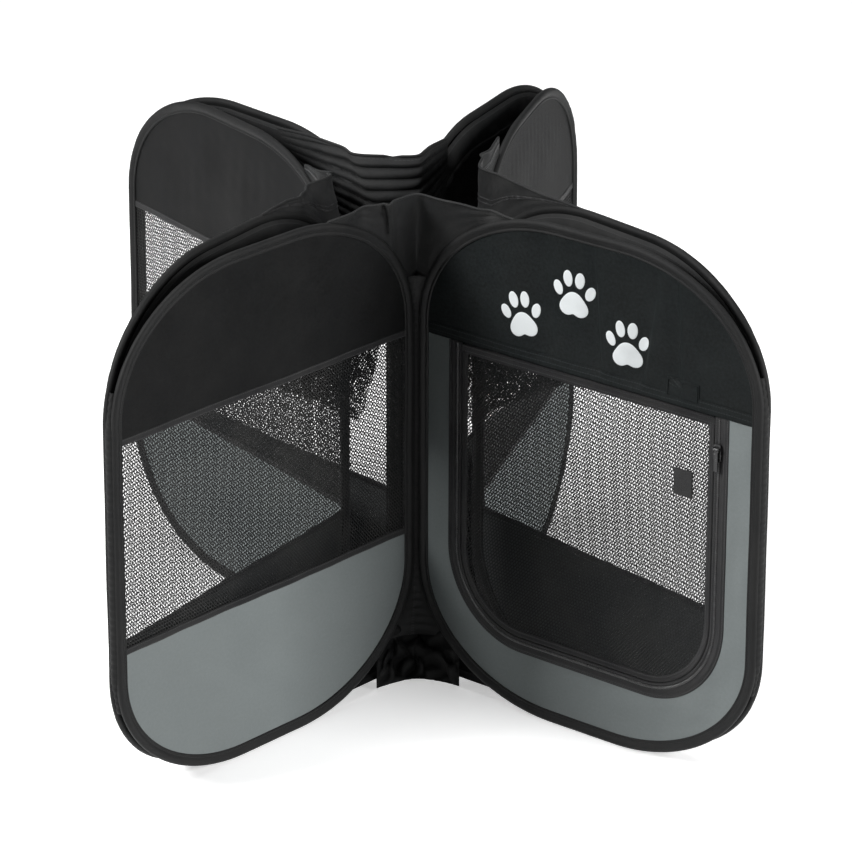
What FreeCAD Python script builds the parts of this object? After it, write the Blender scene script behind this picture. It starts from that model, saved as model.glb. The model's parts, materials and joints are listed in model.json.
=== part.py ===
import FreeCAD, Part
import math
import os

# Pop-up pet playpen: eight sprung fabric panels joined edge to edge in a ring.
# At rest the ring is part folded into a four-armed star. Each arm is two panels
# that meet at a tip; neighbouring arms meet at a valley near the middle.
# Z is up, the ground is z = 0 and the front, with the door, faces -Y. Millimetres.

# Ring
LINK = 500.0            # fold line to fold line, along one panel
HEIGHT = 610.0          # ground to the top rim
ARM_HALF = 5.49         # half the angle between the two panels of a front arm, degrees
ARM_AZIMUTH = {"fl": -126.2, "fr": -45.2, "br": 69.7, "bl": 128.0}
TIP_OFFSET = 5.0        # a panel's middle stands this far outside its tip fold line
TIP_GAP = 2.5           # panel edge to tip fold line
VALLEY_GAP = 6.0        # panel edge to valley fold line

# Panel
CORNER_LONG = 200.0     # rounded corner, along the panel
CORNER_HIGH = 155.0     # rounded corner, up the panel
BIND_WIDTH = 14.0       # binding sleeve, rim to inner edge
BIND_DEPTH = 8.0        # binding sleeve, front to back
BIND_ROUND = 2.8
WIRE = 3.2              # sprung steel loop, diameter
WIRE_BED = 6.5          # rim to the loop's middle
WIRE_PLAY = 0.3         # loop to the sleeve's bore, on the radius
CLOTH = 1.2             # woven cloth, thickness
NET = 0.8               # mesh, thickness
UPPER_EDGE = 437.0      # lower edge of the upper cloth
LOWER_EDGE = 190.0      # upper edge of the lower cloth

# Door, in the front panel of the front right arm
DOOR_INSET = 45.0       # panel edge to the zip's outer edge
DOOR_FOOT = 74.0        # ground to the zip's outer edge
DOOR_CORNER = 112.0     # corner radius of the zip's outer edge
ZIP_FRAME = 19.0        # width of the tape on the surround
ZIP_DOOR = 8.0          # width of the tape on the door
ZIP_SPLIT = 0.4         # between the two tapes
TAPE = 1.6              # zip tape, thickness
HINGE_DROP = 2.2        # upper cloth's edge to the door's fold line
PIPING = 1.6            # radius of the piping on the door's fold line
SLIDER_X = 13.0         # zip's outer edge to the slider's middle
SLIDER_Z = 397.0
SLIDER = (10.0, 3.4, 20.0)
PULL = (5.0, 1.4, 26.0)
PULL_PIN = 0.9          # radius
PATCH = (26.0, 1.6, 32.0)
PATCH_AT = (106.0, 348.0)   # from the tip edge, and above the ground

# Seams and soft linings
SEAM_CORD = 1.2         # radius
COVER_FROM, COVER_TO = 130.0, 410.0     # top cover in an arm, from the tip
COVER_TOP = 560.0
COVER_DEPTH = (80.0, 150.0)
FLOOR_FROM, FLOOR_TO = 200.0, 470.0
FLOOR_RISE = (24.0, 46.0)
FLOOR_FOOT = 2.0
SHEET = 1.4             # thickness of the cover and the floor
SOFT_CLEAR = 1.5        # soft lining to the bindings beside it

PANEL = LINK - TIP_GAP - VALLEY_GAP
X, Y, Z = FreeCAD.Vector(1, 0, 0), FreeCAD.Vector(0, 1, 0), FreeCAD.Vector(0, 0, 1)
ARMS = ("fl", "fr", "br", "bl")
VALLEYS = ("f", "r", "b", "l")
RING = ("l", "fl", "f", "fr", "r", "br", "b", "bl")     # counter-clockwise
# panel: (tip, valley, 1 where the outside is to the right of tip to valley)
PANELS = {
    1: ("fr", "f", -1),
    2: ("fr", "r", 1),
    3: ("br", "r", -1),
    4: ("br", "b", 1),
    5: ("bl", "b", -1),
    6: ("bl", "l", 1),
    7: ("fl", "l", -1),
    8: ("fl", "f", 1),
}


def aim(degrees):
    """The level direction at an angle from +X."""
    return FreeCAD.Vector(math.cos(math.radians(degrees)), math.sin(math.radians(degrees)), 0)


def half_angles():
    """Each arm's half angle; the two back arms' angles are those that close the ring."""
    front = aim(ARM_AZIMUTH["fl"]) + aim(ARM_AZIMUTH["fr"])
    right, left = aim(ARM_AZIMUTH["br"]), aim(ARM_AZIMUTH["bl"])
    across = right.x * left.y - right.y * left.x
    sine = math.sin(math.radians(ARM_HALF))
    right_sine = -sine * (front.x * left.y - front.y * left.x) / across
    left_sine = -sine * (right.x * front.y - right.y * front.x) / across
    back_right = math.degrees(math.asin(right_sine))
    back_left = math.degrees(math.asin(left_sine))
    return {"fl": ARM_HALF, "fr": ARM_HALF, "br": back_right, "bl": back_left}


def ring_points():
    """The eight fold lines' places on the ground, about their own middle."""
    half = half_angles()
    points, here = {"l": FreeCAD.Vector()}, FreeCAD.Vector()
    for arm, valley in zip(ARMS, VALLEYS):
        here = here + aim(ARM_AZIMUTH[arm] + half[arm]) * LINK
        points[arm] = here
        here = here - aim(ARM_AZIMUTH[arm] - half[arm]) * LINK
        points.setdefault(valley, here)
    middle = FreeCAD.Vector()
    for point in points.values():
        middle = middle + point * (1.0 / len(points))
    return {name: point - middle for name, point in points.items()}


def seat(shape, number, points):
    """Moves a shape from a panel's own frame to its place in the ring.

    A panel's own frame: x from its tip edge to its valley edge, y out of the pen, z up."""
    tip, valley, side = PANELS[number]
    along = points[valley] - points[tip]
    turn = math.degrees(math.atan2(along.y, along.x))
    lean = math.degrees(math.asin(TIP_OFFSET / LINK))
    placed = shape.copy()
    if side > 0:
        placed = placed.mirror(FreeCAD.Vector(), Y)
    placed.translate(X * TIP_GAP - Y * (TIP_OFFSET * side))
    placed.rotate(FreeCAD.Vector(), Z, turn + lean * side)
    placed.translate(points[tip])
    return placed


def outline(inset):
    """A panel's rim, moved inwards: four straight sides and four elliptical corners."""
    long_axis, high_axis = CORNER_LONG - inset, CORNER_HIGH - inset
    edges = []
    corners = (
        (PANEL - CORNER_LONG, CORNER_HIGH, -90),
        (PANEL - CORNER_LONG, HEIGHT - CORNER_HIGH, 0),
        (CORNER_LONG, HEIGHT - CORNER_HIGH, 90),
        (CORNER_LONG, CORNER_HIGH, 180),
    )
    last = first = None
    for x, z, start in corners:
        centre = FreeCAD.Vector(x, 0, z)
        if long_axis >= high_axis:
            ellipse = Part.Ellipse(
                centre + X * long_axis, centre + Z * high_axis, centre
            )
            shift = 0
        else:
            ellipse = Part.Ellipse(
                centre + Z * high_axis, centre - X * long_axis, centre
            )
            shift = -90
        low, high = math.radians(start + shift), math.radians(start + shift + 90)
        arc = Part.Arc(ellipse, low, high).toShape()
        head, tail = ellipse.value(low), ellipse.value(high)
        if last is not None:
            edges.append(Part.LineSegment(last, head).toShape())
        else:
            first = head
        edges.append(arc)
        last = tail
    edges.append(Part.LineSegment(last, first).toShape())
    return Part.Wire(edges)


def plate(wire, thickness):
    """A flat piece, centred on y = 0, inside a closed outline that lies in y = 0."""
    face = Part.Face(wire)
    face.translate(Y * (-thickness / 2))
    return face.extrude(Y * thickness)


def slab(low, high, thickness):
    """A wide block between two heights, to cut a panel's cloth at its seams."""
    size = FreeCAD.Vector(-100, -thickness, low)
    return Part.makeBox(PANEL + 200, 2 * thickness, high - low, size)


def hoop(radius):
    """A round bar that runs all the way round a panel, bedded in the binding."""
    path = outline(WIRE_BED)
    start = FreeCAD.Vector(PANEL / 2, 0, WIRE_BED)
    half = Part.Wire(
        [
            Part.LineSegment(start, FreeCAD.Vector(PANEL - CORNER_LONG, 0, WIRE_BED)).toShape(),
            *path.Edges[:-1],
            Part.LineSegment(FreeCAD.Vector(CORNER_LONG, 0, WIRE_BED), start).toShape(),
        ]
    )
    ring = Part.Wire(Part.Circle(start, X, radius).toShape())
    return half.makePipeShell([ring], True, True, 2)


def panel_wire():
    """The sprung steel loop."""
    return hoop(WIRE / 2)


def panel_binding():
    """The sleeve that holds the loop and finishes the panel's rim."""
    sleeve = plate(outline(0), BIND_DEPTH).cut(plate(outline(BIND_WIDTH), BIND_DEPTH + 2))
    flat = [e for e in sleeve.Edges if abs(abs(e.BoundBox.YMin) - BIND_DEPTH / 2) < 0.01
            and e.BoundBox.YLength < 0.01]
    return sleeve.makeFillet(BIND_ROUND, flat).cut(hoop(WIRE / 2 + WIRE_PLAY))


def panel_upper():
    """The woven cloth across the top of a panel."""
    return plate(outline(BIND_WIDTH), CLOTH).common(slab(UPPER_EDGE, HEIGHT, CLOTH))


def panel_window():
    """The mesh across the middle of a panel."""
    return plate(outline(BIND_WIDTH), NET).common(slab(LOWER_EDGE, UPPER_EDGE, CLOTH))


def panel_lower():
    """The woven cloth across the foot of a panel."""
    return plate(outline(BIND_WIDTH), CLOTH).common(slab(0, LOWER_EDGE, CLOTH))


def door_outline(inset, top):
    """The door's U, moved inwards from the zip's outer edge and closed by a level top."""
    left, right = DOOR_INSET + inset, PANEL - DOOR_INSET - inset
    foot, radius = DOOR_FOOT + inset, DOOR_CORNER - inset
    turn = radius * math.sqrt(0.5)
    low_left = FreeCAD.Vector(left + radius, 0, foot + radius)
    low_right = FreeCAD.Vector(right - radius, 0, foot + radius)
    corners = [
        FreeCAD.Vector(left, 0, top),
        FreeCAD.Vector(left, 0, foot + radius),
        FreeCAD.Vector(left + radius, 0, foot),
        FreeCAD.Vector(right - radius, 0, foot),
        FreeCAD.Vector(right, 0, foot + radius),
        FreeCAD.Vector(right, 0, top),
    ]
    first_bend = Part.Arc(corners[1], low_left + FreeCAD.Vector(-turn, 0, -turn), corners[2])
    other_bend = Part.Arc(corners[3], low_right + FreeCAD.Vector(turn, 0, -turn), corners[4])
    return Part.Wire(
        [
            Part.LineSegment(corners[0], corners[1]).toShape(),
            first_bend.toShape(),
            Part.LineSegment(corners[2], corners[3]).toShape(),
            other_bend.toShape(),
            Part.LineSegment(corners[4], corners[5]).toShape(),
            Part.LineSegment(corners[5], corners[0]).toShape(),
        ]
    )


def door_surround():
    """The cloth frame round the door."""
    field = plate(outline(BIND_WIDTH), CLOTH).common(slab(0, UPPER_EDGE, CLOTH))
    return field.cut(plate(door_outline(0, HEIGHT), 4 * CLOTH))


def frame_zip_tape():
    """The zip's tape and coil on the surround."""
    band = plate(door_outline(0, UPPER_EDGE), TAPE)
    return band.cut(plate(door_outline(ZIP_FRAME, HEIGHT), 2 * TAPE))


def door_zip_tape():
    """The tape round the door, and the piping that it folds on."""
    fold = UPPER_EDGE - HINGE_DROP
    outer = ZIP_FRAME + ZIP_SPLIT
    band = plate(door_outline(outer, fold), TAPE)
    band = band.cut(plate(door_outline(outer + ZIP_DOOR, fold - ZIP_DOOR), 2 * TAPE))
    left = DOOR_INSET + outer
    width = PANEL - 2 * left
    rod = Part.makeCylinder(PIPING, width, FreeCAD.Vector(left, 0, fold), X)
    return band.fuse(rod).removeSplitter()


def door_mesh():
    """The door's mesh."""
    inner = ZIP_FRAME + ZIP_SPLIT + ZIP_DOOR
    return plate(door_outline(inner, UPPER_EDGE - HINGE_DROP - ZIP_DOOR), NET)


def door_patch():
    """The square of hook tape on the door's outer face."""
    wide, thick, high = PATCH
    corner = FreeCAD.Vector(PATCH_AT[0] - wide / 2, NET / 2, PATCH_AT[1] - high / 2)
    return Part.makeBox(wide, thick, high, corner)


def zip_slider():
    """The slider, on the outer face of the coil, with a loop for its pull."""
    wide, thick, high = SLIDER
    x, y = DOOR_INSET + SLIDER_X, TAPE / 2 + 0.15
    corner = FreeCAD.Vector(x - wide / 2, y, SLIDER_Z - high / 2)
    body = Part.makeBox(wide, thick, high, corner)
    upright = [e for e in body.Edges if e.BoundBox.YLength > thick - 0.01]
    body = body.makeFillet(wide * 0.3, upright)
    cheek = 1.2
    lug_high, lug_out = 5.0, 4.2
    for side in (-1, 1):
        edge = x + side * (PULL[0] / 2 + 0.3 + cheek / 2) - cheek / 2
        start = FreeCAD.Vector(edge, y + thick - 0.5, SLIDER_Z + high * 0.1)
        body = body.fuse(Part.makeBox(cheek, lug_out, lug_high, start))
    pin_at = FreeCAD.Vector(x - PULL[0] / 2 - 0.3 - cheek, *pull_axis())
    pin = Part.makeCylinder(PULL_PIN, PULL[0] + 0.6 + 2 * cheek, pin_at, X)
    return body.fuse(pin).removeSplitter()


def pull_axis():
    """How far out of the panel and how high the pull's pin is."""
    return TAPE / 2 + 0.15 + SLIDER[1] + 2.0, SLIDER_Z + SLIDER[2] * 0.1 + 2.5


def zip_pull():
    """The tab that hangs from the slider."""
    wide, thick, high = PULL
    x, out, up = DOOR_INSET + SLIDER_X, *pull_axis()
    tab = Part.makeBox(wide, thick, high, FreeCAD.Vector(x - wide / 2, out - thick / 2, up - high))
    eye = Part.makeCylinder(PULL_PIN + 1.0, wide, FreeCAD.Vector(x - wide / 2, out, up), X)
    bore = Part.makeCylinder(PULL_PIN + 0.15, wide + 2, FreeCAD.Vector(x - wide / 2 - 1, out, up), X)
    return tab.fuse(eye).cut(bore).removeSplitter()


def seam(point):
    """The cord in the seam on a fold line."""
    low, high = CORNER_HIGH, HEIGHT - CORNER_HIGH
    return Part.makeCylinder(SEAM_CORD, high - low, FreeCAD.Vector(point.x, point.y, low), Z)


def room_beside(reach, half):
    """From an arm's middle to the clear side of its binding, at a distance from the tip."""
    offset = TIP_OFFSET * (1 - reach / LINK)
    return reach * math.sin(math.radians(half)) + offset - BIND_DEPTH / 2 - SOFT_CLEAR


def fold(reach, half, edge, crease):
    """The section of a sheet folded once across an arm: a V or an upturned V."""
    side = room_beside(reach, half)
    slope = math.hypot(side, edge - crease) / side
    rise = SHEET * slope * (1 if edge > crease else -1)
    points = [
        (-side, edge),
        (0, crease),
        (side, edge),
        (side - SHEET / 2, edge),
        (0, crease + rise),
        (-side + SHEET / 2, edge),
    ]
    corners = [FreeCAD.Vector(reach, y, z) for y, z in points]
    return Part.makePolygon([*corners, corners[0]])


def in_arm(shape, arm, points):
    """Moves a shape from an arm's own frame, with x from the tip inwards."""
    shape.rotate(FreeCAD.Vector(), Z, ARM_AZIMUTH[arm] + 180)
    shape.translate(points[arm])
    return shape


def arm_cover(arm, half, points):
    """The mesh top cover, folded down between an arm's two panels."""
    sections = [
        fold(reach, half, COVER_TOP, COVER_TOP - depth)
        for reach, depth in zip((COVER_FROM, COVER_TO), COVER_DEPTH)
    ]
    return in_arm(Part.makeLoft(sections, True, True), arm, points)


def arm_floor(arm, half, points):
    """The cloth floor, folded up between an arm's two panels."""
    sections = [
        fold(reach, half, FLOOR_FOOT, FLOOR_FOOT + rise)
        for reach, rise in zip((FLOOR_FROM, FLOOR_TO), FLOOR_RISE)
    ]
    return in_arm(Part.makeLoft(sections, True, True), arm, points)


def build():
    """Every node, by name."""
    points, half = ring_points(), half_angles()
    made = {}
    common = {
        "wire": panel_wire(),
        "binding": panel_binding(),
        "upper": panel_upper(),
        "window": panel_window(),
        "lower": panel_lower(),
    }
    for number in PANELS:
        for kind, shape in common.items():
            if number == 1 and kind in ("window", "lower"):
                continue
            made["panel_%d_%s" % (number, kind)] = seat(shape, number, points)
    door = {
        "door_surround": door_surround(),
        "frame_zip_tape": frame_zip_tape(),
        "door_zip_tape": door_zip_tape(),
        "door_mesh": door_mesh(),
        "door_patch": door_patch(),
        "zip_slider": zip_slider(),
        "zip_pull": zip_pull(),
    }
    for name, shape in door.items():
        made[name] = seat(shape, 1, points)
    for line in RING:
        if line != "b":
            made["seam_" + line] = seam(points[line])
    for arm in ARMS:
        made["cover_" + arm] = arm_cover(arm, half[arm], points)
        made["floor_" + arm] = arm_floor(arm, half[arm], points)
    return made, points


os.makedirs("parts", exist_ok=True)
nodes, fold_lines = build()
whole = Part.makeCompound(list(nodes.values())).BoundBox
shift = FreeCAD.Vector(-whole.Center.x, -whole.Center.y, -whole.ZMin)
for name, shape in nodes.items():
    shape.translate(shift)
    if shape.ShapeType != "Solid" and len(shape.Solids) == 1:
        shape = shape.Solids[0]
    shape.exportStep("parts/%s.step" % name)
    print(name, len(shape.Solids), round(shape.Volume), shape.isValid())
for name, point in fold_lines.items():
    print("fold line", name, round(point.x + shift.x, 4), round(point.y + shift.y, 4))
print("box", [round(v, 2) for v in (whole.XLength, whole.YLength, whole.ZLength)])
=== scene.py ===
import json
import math

import bpy
import numpy as np
from bpy.props import FloatProperty, FloatVectorProperty, IntProperty, PointerProperty
from mathutils import Matrix, Vector


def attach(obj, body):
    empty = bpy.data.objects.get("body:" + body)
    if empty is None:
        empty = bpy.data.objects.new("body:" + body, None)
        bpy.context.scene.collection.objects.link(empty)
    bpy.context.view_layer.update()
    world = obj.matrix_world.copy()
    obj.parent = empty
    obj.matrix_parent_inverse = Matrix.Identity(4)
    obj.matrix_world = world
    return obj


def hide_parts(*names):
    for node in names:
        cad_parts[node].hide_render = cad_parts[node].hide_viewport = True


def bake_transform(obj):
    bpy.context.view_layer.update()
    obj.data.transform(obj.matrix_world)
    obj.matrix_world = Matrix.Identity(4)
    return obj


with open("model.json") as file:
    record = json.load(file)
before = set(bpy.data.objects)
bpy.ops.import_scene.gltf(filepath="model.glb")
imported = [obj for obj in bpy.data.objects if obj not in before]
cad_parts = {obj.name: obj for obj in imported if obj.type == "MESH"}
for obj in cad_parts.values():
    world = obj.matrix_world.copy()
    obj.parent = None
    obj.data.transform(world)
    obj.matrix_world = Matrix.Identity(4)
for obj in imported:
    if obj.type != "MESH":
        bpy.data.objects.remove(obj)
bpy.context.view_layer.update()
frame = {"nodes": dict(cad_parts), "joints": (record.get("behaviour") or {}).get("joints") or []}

bl_info = {
    "name": "Pop-up Pet Playpen",
    "version": (1, 0, 0),
    "blender": (4, 5, 0),
    "location": "View3D > Sidebar > Playpen",
    "description": "Cloth, mesh, zip and folds of an eight-panel pop-up pet playpen, around its packed frame",
    "category": "Object",
}

# Sizes that the frame's parts share, in metres
LINK = 0.5
HEIGHT = 0.61
TIP_OFFSET, TIP_GAP, VALLEY_GAP = 0.005, 0.0025, 0.006
PANEL = LINK - TIP_GAP - VALLEY_GAP
CORNER_LONG, CORNER_HIGH = 0.2, 0.155
UPPER_EDGE, LOWER_EDGE = 0.437, 0.19
DOOR_INSET, DOOR_FOOT, DOOR_CORNER = 0.045, 0.074, 0.112
ZIP_FRAME, ZIP_SPLIT = 0.019, 0.0004
ZIP_BOTH = ZIP_FRAME + ZIP_SPLIT
DOOR_TOP = UPPER_EDGE - 0.0022
PATCH_AT, PATCH_SIZE = (0.106, 0.348), (0.026, 0.032)
# The cloths' own: where they end under the sleeves, how thick they are, and where a roof net's edge lies
CLOTH_INSET, CLOTH, THIN_CLOTH = 0.0122, 0.001, 0.0009
NET_OUT = -0.0097
# How far from an arm's tip blend_across takes the arm's middle for its net and floor, though nothing bends them there
ARM_REACH = 0.12
# Points along each rounded corner and each straight side of a rim
RIM_CORNER, RIM_SIDE = 34, 14
# Points along each side and each corner of the zip's U
DOOR_STEPS = 26
TURN = 2 * math.pi

# panel: (tip, valley, 1 where the outside is to the right of tip to valley)
PANELS = {
    1: ("fr", "f", -1),
    2: ("fr", "r", 1),
    3: ("br", "r", -1),
    4: ("br", "b", 1),
    5: ("bl", "b", -1),
    6: ("bl", "l", 1),
    7: ("fl", "l", -1),
    8: ("fl", "f", 1),
}
# fold line: the two panels that it joins
PAIRS = {
    "fr": (1, 2),
    "br": (3, 4),
    "bl": (6, 5),
    "fl": (8, 7),
    "r": (2, 3),
    "f": (1, 8),
    "l": (7, 6),
    "b": (4, 5),
}
ARMS = ("fl", "fr", "br", "bl")
VALLEYS = ("f", "r", "l")


def fold_lines():
    """Each fold line's place on the ground. Seven are joints; the eighth is a panel's length from both its tips, on
    the side nearer the other valleys."""
    at = {j["name"]: np.array(j["pos_m"][:2]) for j in frame["joints"] if j.get("pos_m")}
    lines = {name: at["tip_" + name] for name in ARMS}
    lines.update({name: at["valley_" + name] for name in VALLEYS})
    p, q = lines["br"], lines["bl"]
    middle, apart = (p + q) / 2, np.linalg.norm(q - p)
    along = (q - p) / apart
    rise = math.sqrt(LINK**2 - (apart / 2) ** 2)
    options = [middle + rise * s * np.array([-along[1], along[0]]) for s in (-1, 1)]
    inner = (lines["l"] + lines["r"] + lines["f"]) / 3
    lines["b"] = min(options, key=lambda o: np.linalg.norm(o - inner))
    return lines


FOLD = fold_lines()


def panel_axes(panel):
    """A panel's own level directions: from its tip to its valley, and out of the pen."""
    tip, valley, side = PANELS[panel]
    along = FOLD[valley] - FOLD[tip]
    turn = math.atan2(along[1], along[0]) + math.asin(TIP_OFFSET / LINK) * side
    e = np.array([math.cos(turn), math.sin(turn)])
    return e, np.array([-e[1], e[0]]) * (1 if side < 0 else -1)


def seat(points, panel):
    """Moves points from a panel's own frame, with x from its tip edge, y out of the pen and z up, to the frame that
    all pieces share."""
    e, out = panel_axes(panel)
    tip = FOLD[PANELS[panel][0]]
    p = np.asarray(points, float)
    flat = tip + (p[..., :1] + TIP_GAP) * e + (p[..., 1:2] + TIP_OFFSET) * out
    return np.concatenate([flat, p[..., 2:3]], -1)


# ---------------------------------------------------------------- shapes


def smooth(t):
    """0 to 1 with level ends."""
    t = np.clip(t, 0, 1)
    return t * t * (3 - 2 * t)


def ripple(a, b, seed, count=6, low=8.0, high=40.0):
    """A sum of plane waves over two lengths, with directions and phases set by the seed, from about -1 to 1."""
    rng = np.random.default_rng(seed)
    total = np.zeros(np.broadcast(a, b).shape)
    for _ in range(count):
        way, rate, phase = rng.uniform(0, math.pi), rng.uniform(low, high), rng.uniform(0, TURN)
        total = total + np.sin((a * math.cos(way) + b * math.sin(way)) * rate * TURN + phase)
    return total / math.sqrt(count) / 1.4


def spread(*rows):
    """Lengths over one grid, stacked as its last axis."""
    return np.stack(np.broadcast_arrays(*rows), -1)


def turns(count):
    """Evenly spaced angles round a circle, each once."""
    return np.linspace(0, TURN, count + 1)[:-1]


def rim(inset):
    """A panel's rim moved inwards: straight sides joined by quarter ellipses whose two axes shrink by the inset.
    inset may be a row of values. The result is (places round the rim, insets) for x and for z, counter-clockwise
    from the start of the upper corner on the valley side."""
    inset = np.atleast_1d(np.asarray(inset, float))[None, :]
    xs, zs = [], []
    t = np.linspace(0, math.pi / 2, RIM_CORNER + 1)[:, None]
    s = np.linspace(0, 1, RIM_SIDE + 1)[1:-1, None]
    centres = (
        (PANEL - CORNER_LONG, HEIGHT - CORNER_HIGH, 0),
        (CORNER_LONG, HEIGHT - CORNER_HIGH, 1),
        (CORNER_LONG, CORNER_HIGH, 2),
        (PANEL - CORNER_LONG, CORNER_HIGH, 3),
    )
    ends = []
    for cx, cz, quarter in centres:
        angle = t + quarter * math.pi / 2
        x = cx + (CORNER_LONG - inset) * np.cos(angle)
        z = cz + (CORNER_HIGH - inset) * np.sin(angle)
        ends.append((x, z))
    for k in range(4):
        x, z = ends[k]
        nx, nz = ends[(k + 1) % 4]
        xs += [x, x[-1:] + (nx[:1] - x[-1:]) * s]
        zs += [z, z[-1:] + (nz[:1] - z[-1:]) * s]
    return np.concatenate(xs), np.concatenate(zs)


def rim_sides(z, inset):
    """Where a level line at height z meets the rim moved inwards by inset: its two ends along the panel."""
    low, high = CORNER_HIGH, HEIGHT - CORNER_HIGH
    past = np.maximum(np.maximum(low - z, z - high), 0)
    share = np.sqrt(np.clip(1 - (past / (CORNER_HIGH - inset)) ** 2, 0, 1))
    reach = (CORNER_LONG - inset) * share
    return CORNER_LONG - reach, PANEL - CORNER_LONG + reach


def rim_walk(t, inset):
    """A walk over the top of a panel at a steady pace, from its tip side at t = 0 to its valley side at t = 1, along
    the rim moved inwards by inset."""
    over = 2 * (RIM_CORNER + 1) + RIM_SIDE - 1
    x, z = (line[:over, 0][::-1] for line in rim(inset))
    length = np.concatenate([[0], np.cumsum(np.hypot(np.diff(x), np.diff(z)))])
    at = np.asarray(t) * length[-1]
    return np.interp(at, length, x), np.interp(at, length, z)


def door_line(inset, top):
    """The zip's U moved inwards: down one side, round a corner, along the foot, round and up. Rows go round the U and
    columns over the insets."""
    inset = np.atleast_1d(np.asarray(inset, float))[None, :]
    left, right = DOOR_INSET + inset, PANEL - DOOR_INSET - inset
    foot, radius = DOOR_FOOT + inset, DOOR_CORNER - inset
    s = np.linspace(0, 1, DOOR_STEPS + 1)[:-1, None]
    t = s * math.pi / 2
    xs = [
        left + 0 * s,
        left + radius - radius * np.cos(t),
        left + radius + (right - left - 2 * radius) * s,
        right - radius + radius * np.sin(t),
        np.concatenate([right + 0 * s, right]),
    ]
    up = np.concatenate([s, [[1.0]]])
    zs = [
        top + (foot + radius - top) * s,
        foot + radius - radius * np.sin(t),
        foot + 0 * s,
        foot + radius - radius * np.cos(t),
        foot + radius + (top - foot - radius) * up,
    ]
    return np.concatenate(xs), np.concatenate(zs)


def run_length(p):
    """Distance down each column of points, from its first."""
    step = np.linalg.norm(np.diff(p, axis=0), axis=-1)
    return np.concatenate([np.zeros((1,) + step.shape[1:]), np.cumsum(step, 0)])


def run_across(p):
    """Distance along each row of points, from its first."""
    return run_length(np.swapaxes(p, 0, 1)).T


def patch(p, uv=None, along=False, around=False, flip=False):
    """A grid of points as quads. along closes the rows into a ring and around the columns. uv has one more row or
    column where the grid closes."""
    n, m = p.shape[:2]
    if uv is None:
        uv = spread(run_length(p).mean(1, keepdims=True), run_across(p).mean(0, keepdims=True))
        if along:
            uv = np.concatenate([uv, uv[-1:] + (uv[-1:] - uv[-2:-1])], 0)
        if around:
            uv = np.concatenate([uv, uv[:, -1:] + (uv[:, -1:] - uv[:, -2:-1])], 1)
    i = np.arange(n if along else n - 1)[:, None]
    j = np.arange(m if around else m - 1)[None, :]
    corners = [(i, j), (i, j + 1), (i + 1, j + 1), (i + 1, j)]
    faces = np.stack([(a % n) * m + b % m for a, b in corners], -1).reshape(-1, 4)
    face_uv = np.stack([uv[a, b] for a, b in corners], 2).reshape(-1, 4, 2)
    if flip:
        faces, face_uv = faces[:, ::-1], face_uv[:, ::-1]
    return p.reshape(-1, 3), faces, face_uv


def tube(p, uv):
    """A grid of points closed round its columns, with a UV map that starts again at the join."""
    return patch(p, np.concatenate([uv, uv[:, :1]], 1), around=True)


def surface_normals(p):
    """Unit normals of a grid surface, from the cross product of its two directions."""
    u, v = np.gradient(p, axis=0), np.gradient(p, axis=1)
    n = np.cross(v, u)
    return n / np.maximum(np.linalg.norm(n, axis=-1, keepdims=True), 1e-12)


def slab(p, thickness, uv=None):
    """A sheet with thickness: the surface moved half of it each way along its normals, with closed edges."""
    n, m = p.shape[:2]
    normal = surface_normals(p) * thickness / 2
    if uv is None:
        uv = spread(run_length(p).mean(1, keepdims=True), run_across(p).mean(0, keepdims=True))
    ring = np.concatenate([p + normal, (p - normal)[:, ::-1]], 1)
    ring_uv = np.concatenate([uv, uv[:, ::-1], uv[:, :1]], 1)
    verts, faces, face_uv = patch(ring, ring_uv, around=True)
    j = np.arange(m - 1)
    caps, cap_uv = [], []
    for row, turn in ((0, 1), (n - 1, -1)):
        start = row * 2 * m
        quad = np.stack([start + j, start + 2 * m - 1 - j, start + 2 * m - 2 - j, start + j + 1], -1)
        quv = np.stack([uv[row, j], uv[row, j], uv[row, j + 1], uv[row, j + 1]], 1)
        caps.append(quad[:, ::turn])
        cap_uv.append(quv[:, ::turn])
    return verts, np.concatenate([faces, *caps]), np.concatenate([face_uv, *cap_uv])


def inside_faces(p, first):
    """Which faces of a slab made from p lie inside the pen, as 1 for the painted inside shade and light and 0 for the
    rest. first says that it's the side that the slab starts with."""
    n, m = p.shape[:2]
    column = np.tile(np.arange(2 * m), n - 1)
    plus = column < m - 1
    inner = plus if first else (column >= m) & (column < 2 * m - 1)
    return np.concatenate([inner.astype(int), np.zeros(2 * (m - 1), int)])


def outward(part):
    """Turns a closed part's faces over if its enclosed volume comes out negative."""
    verts, faces, uv = part
    a, b, c, d = (verts[faces[:, k]] for k in range(4))
    volume = (np.cross(a, b) * c).sum() + (np.cross(a, c) * d).sum()
    return (verts, faces[:, ::-1], uv[:, ::-1]) if volume < 0 else part


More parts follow.
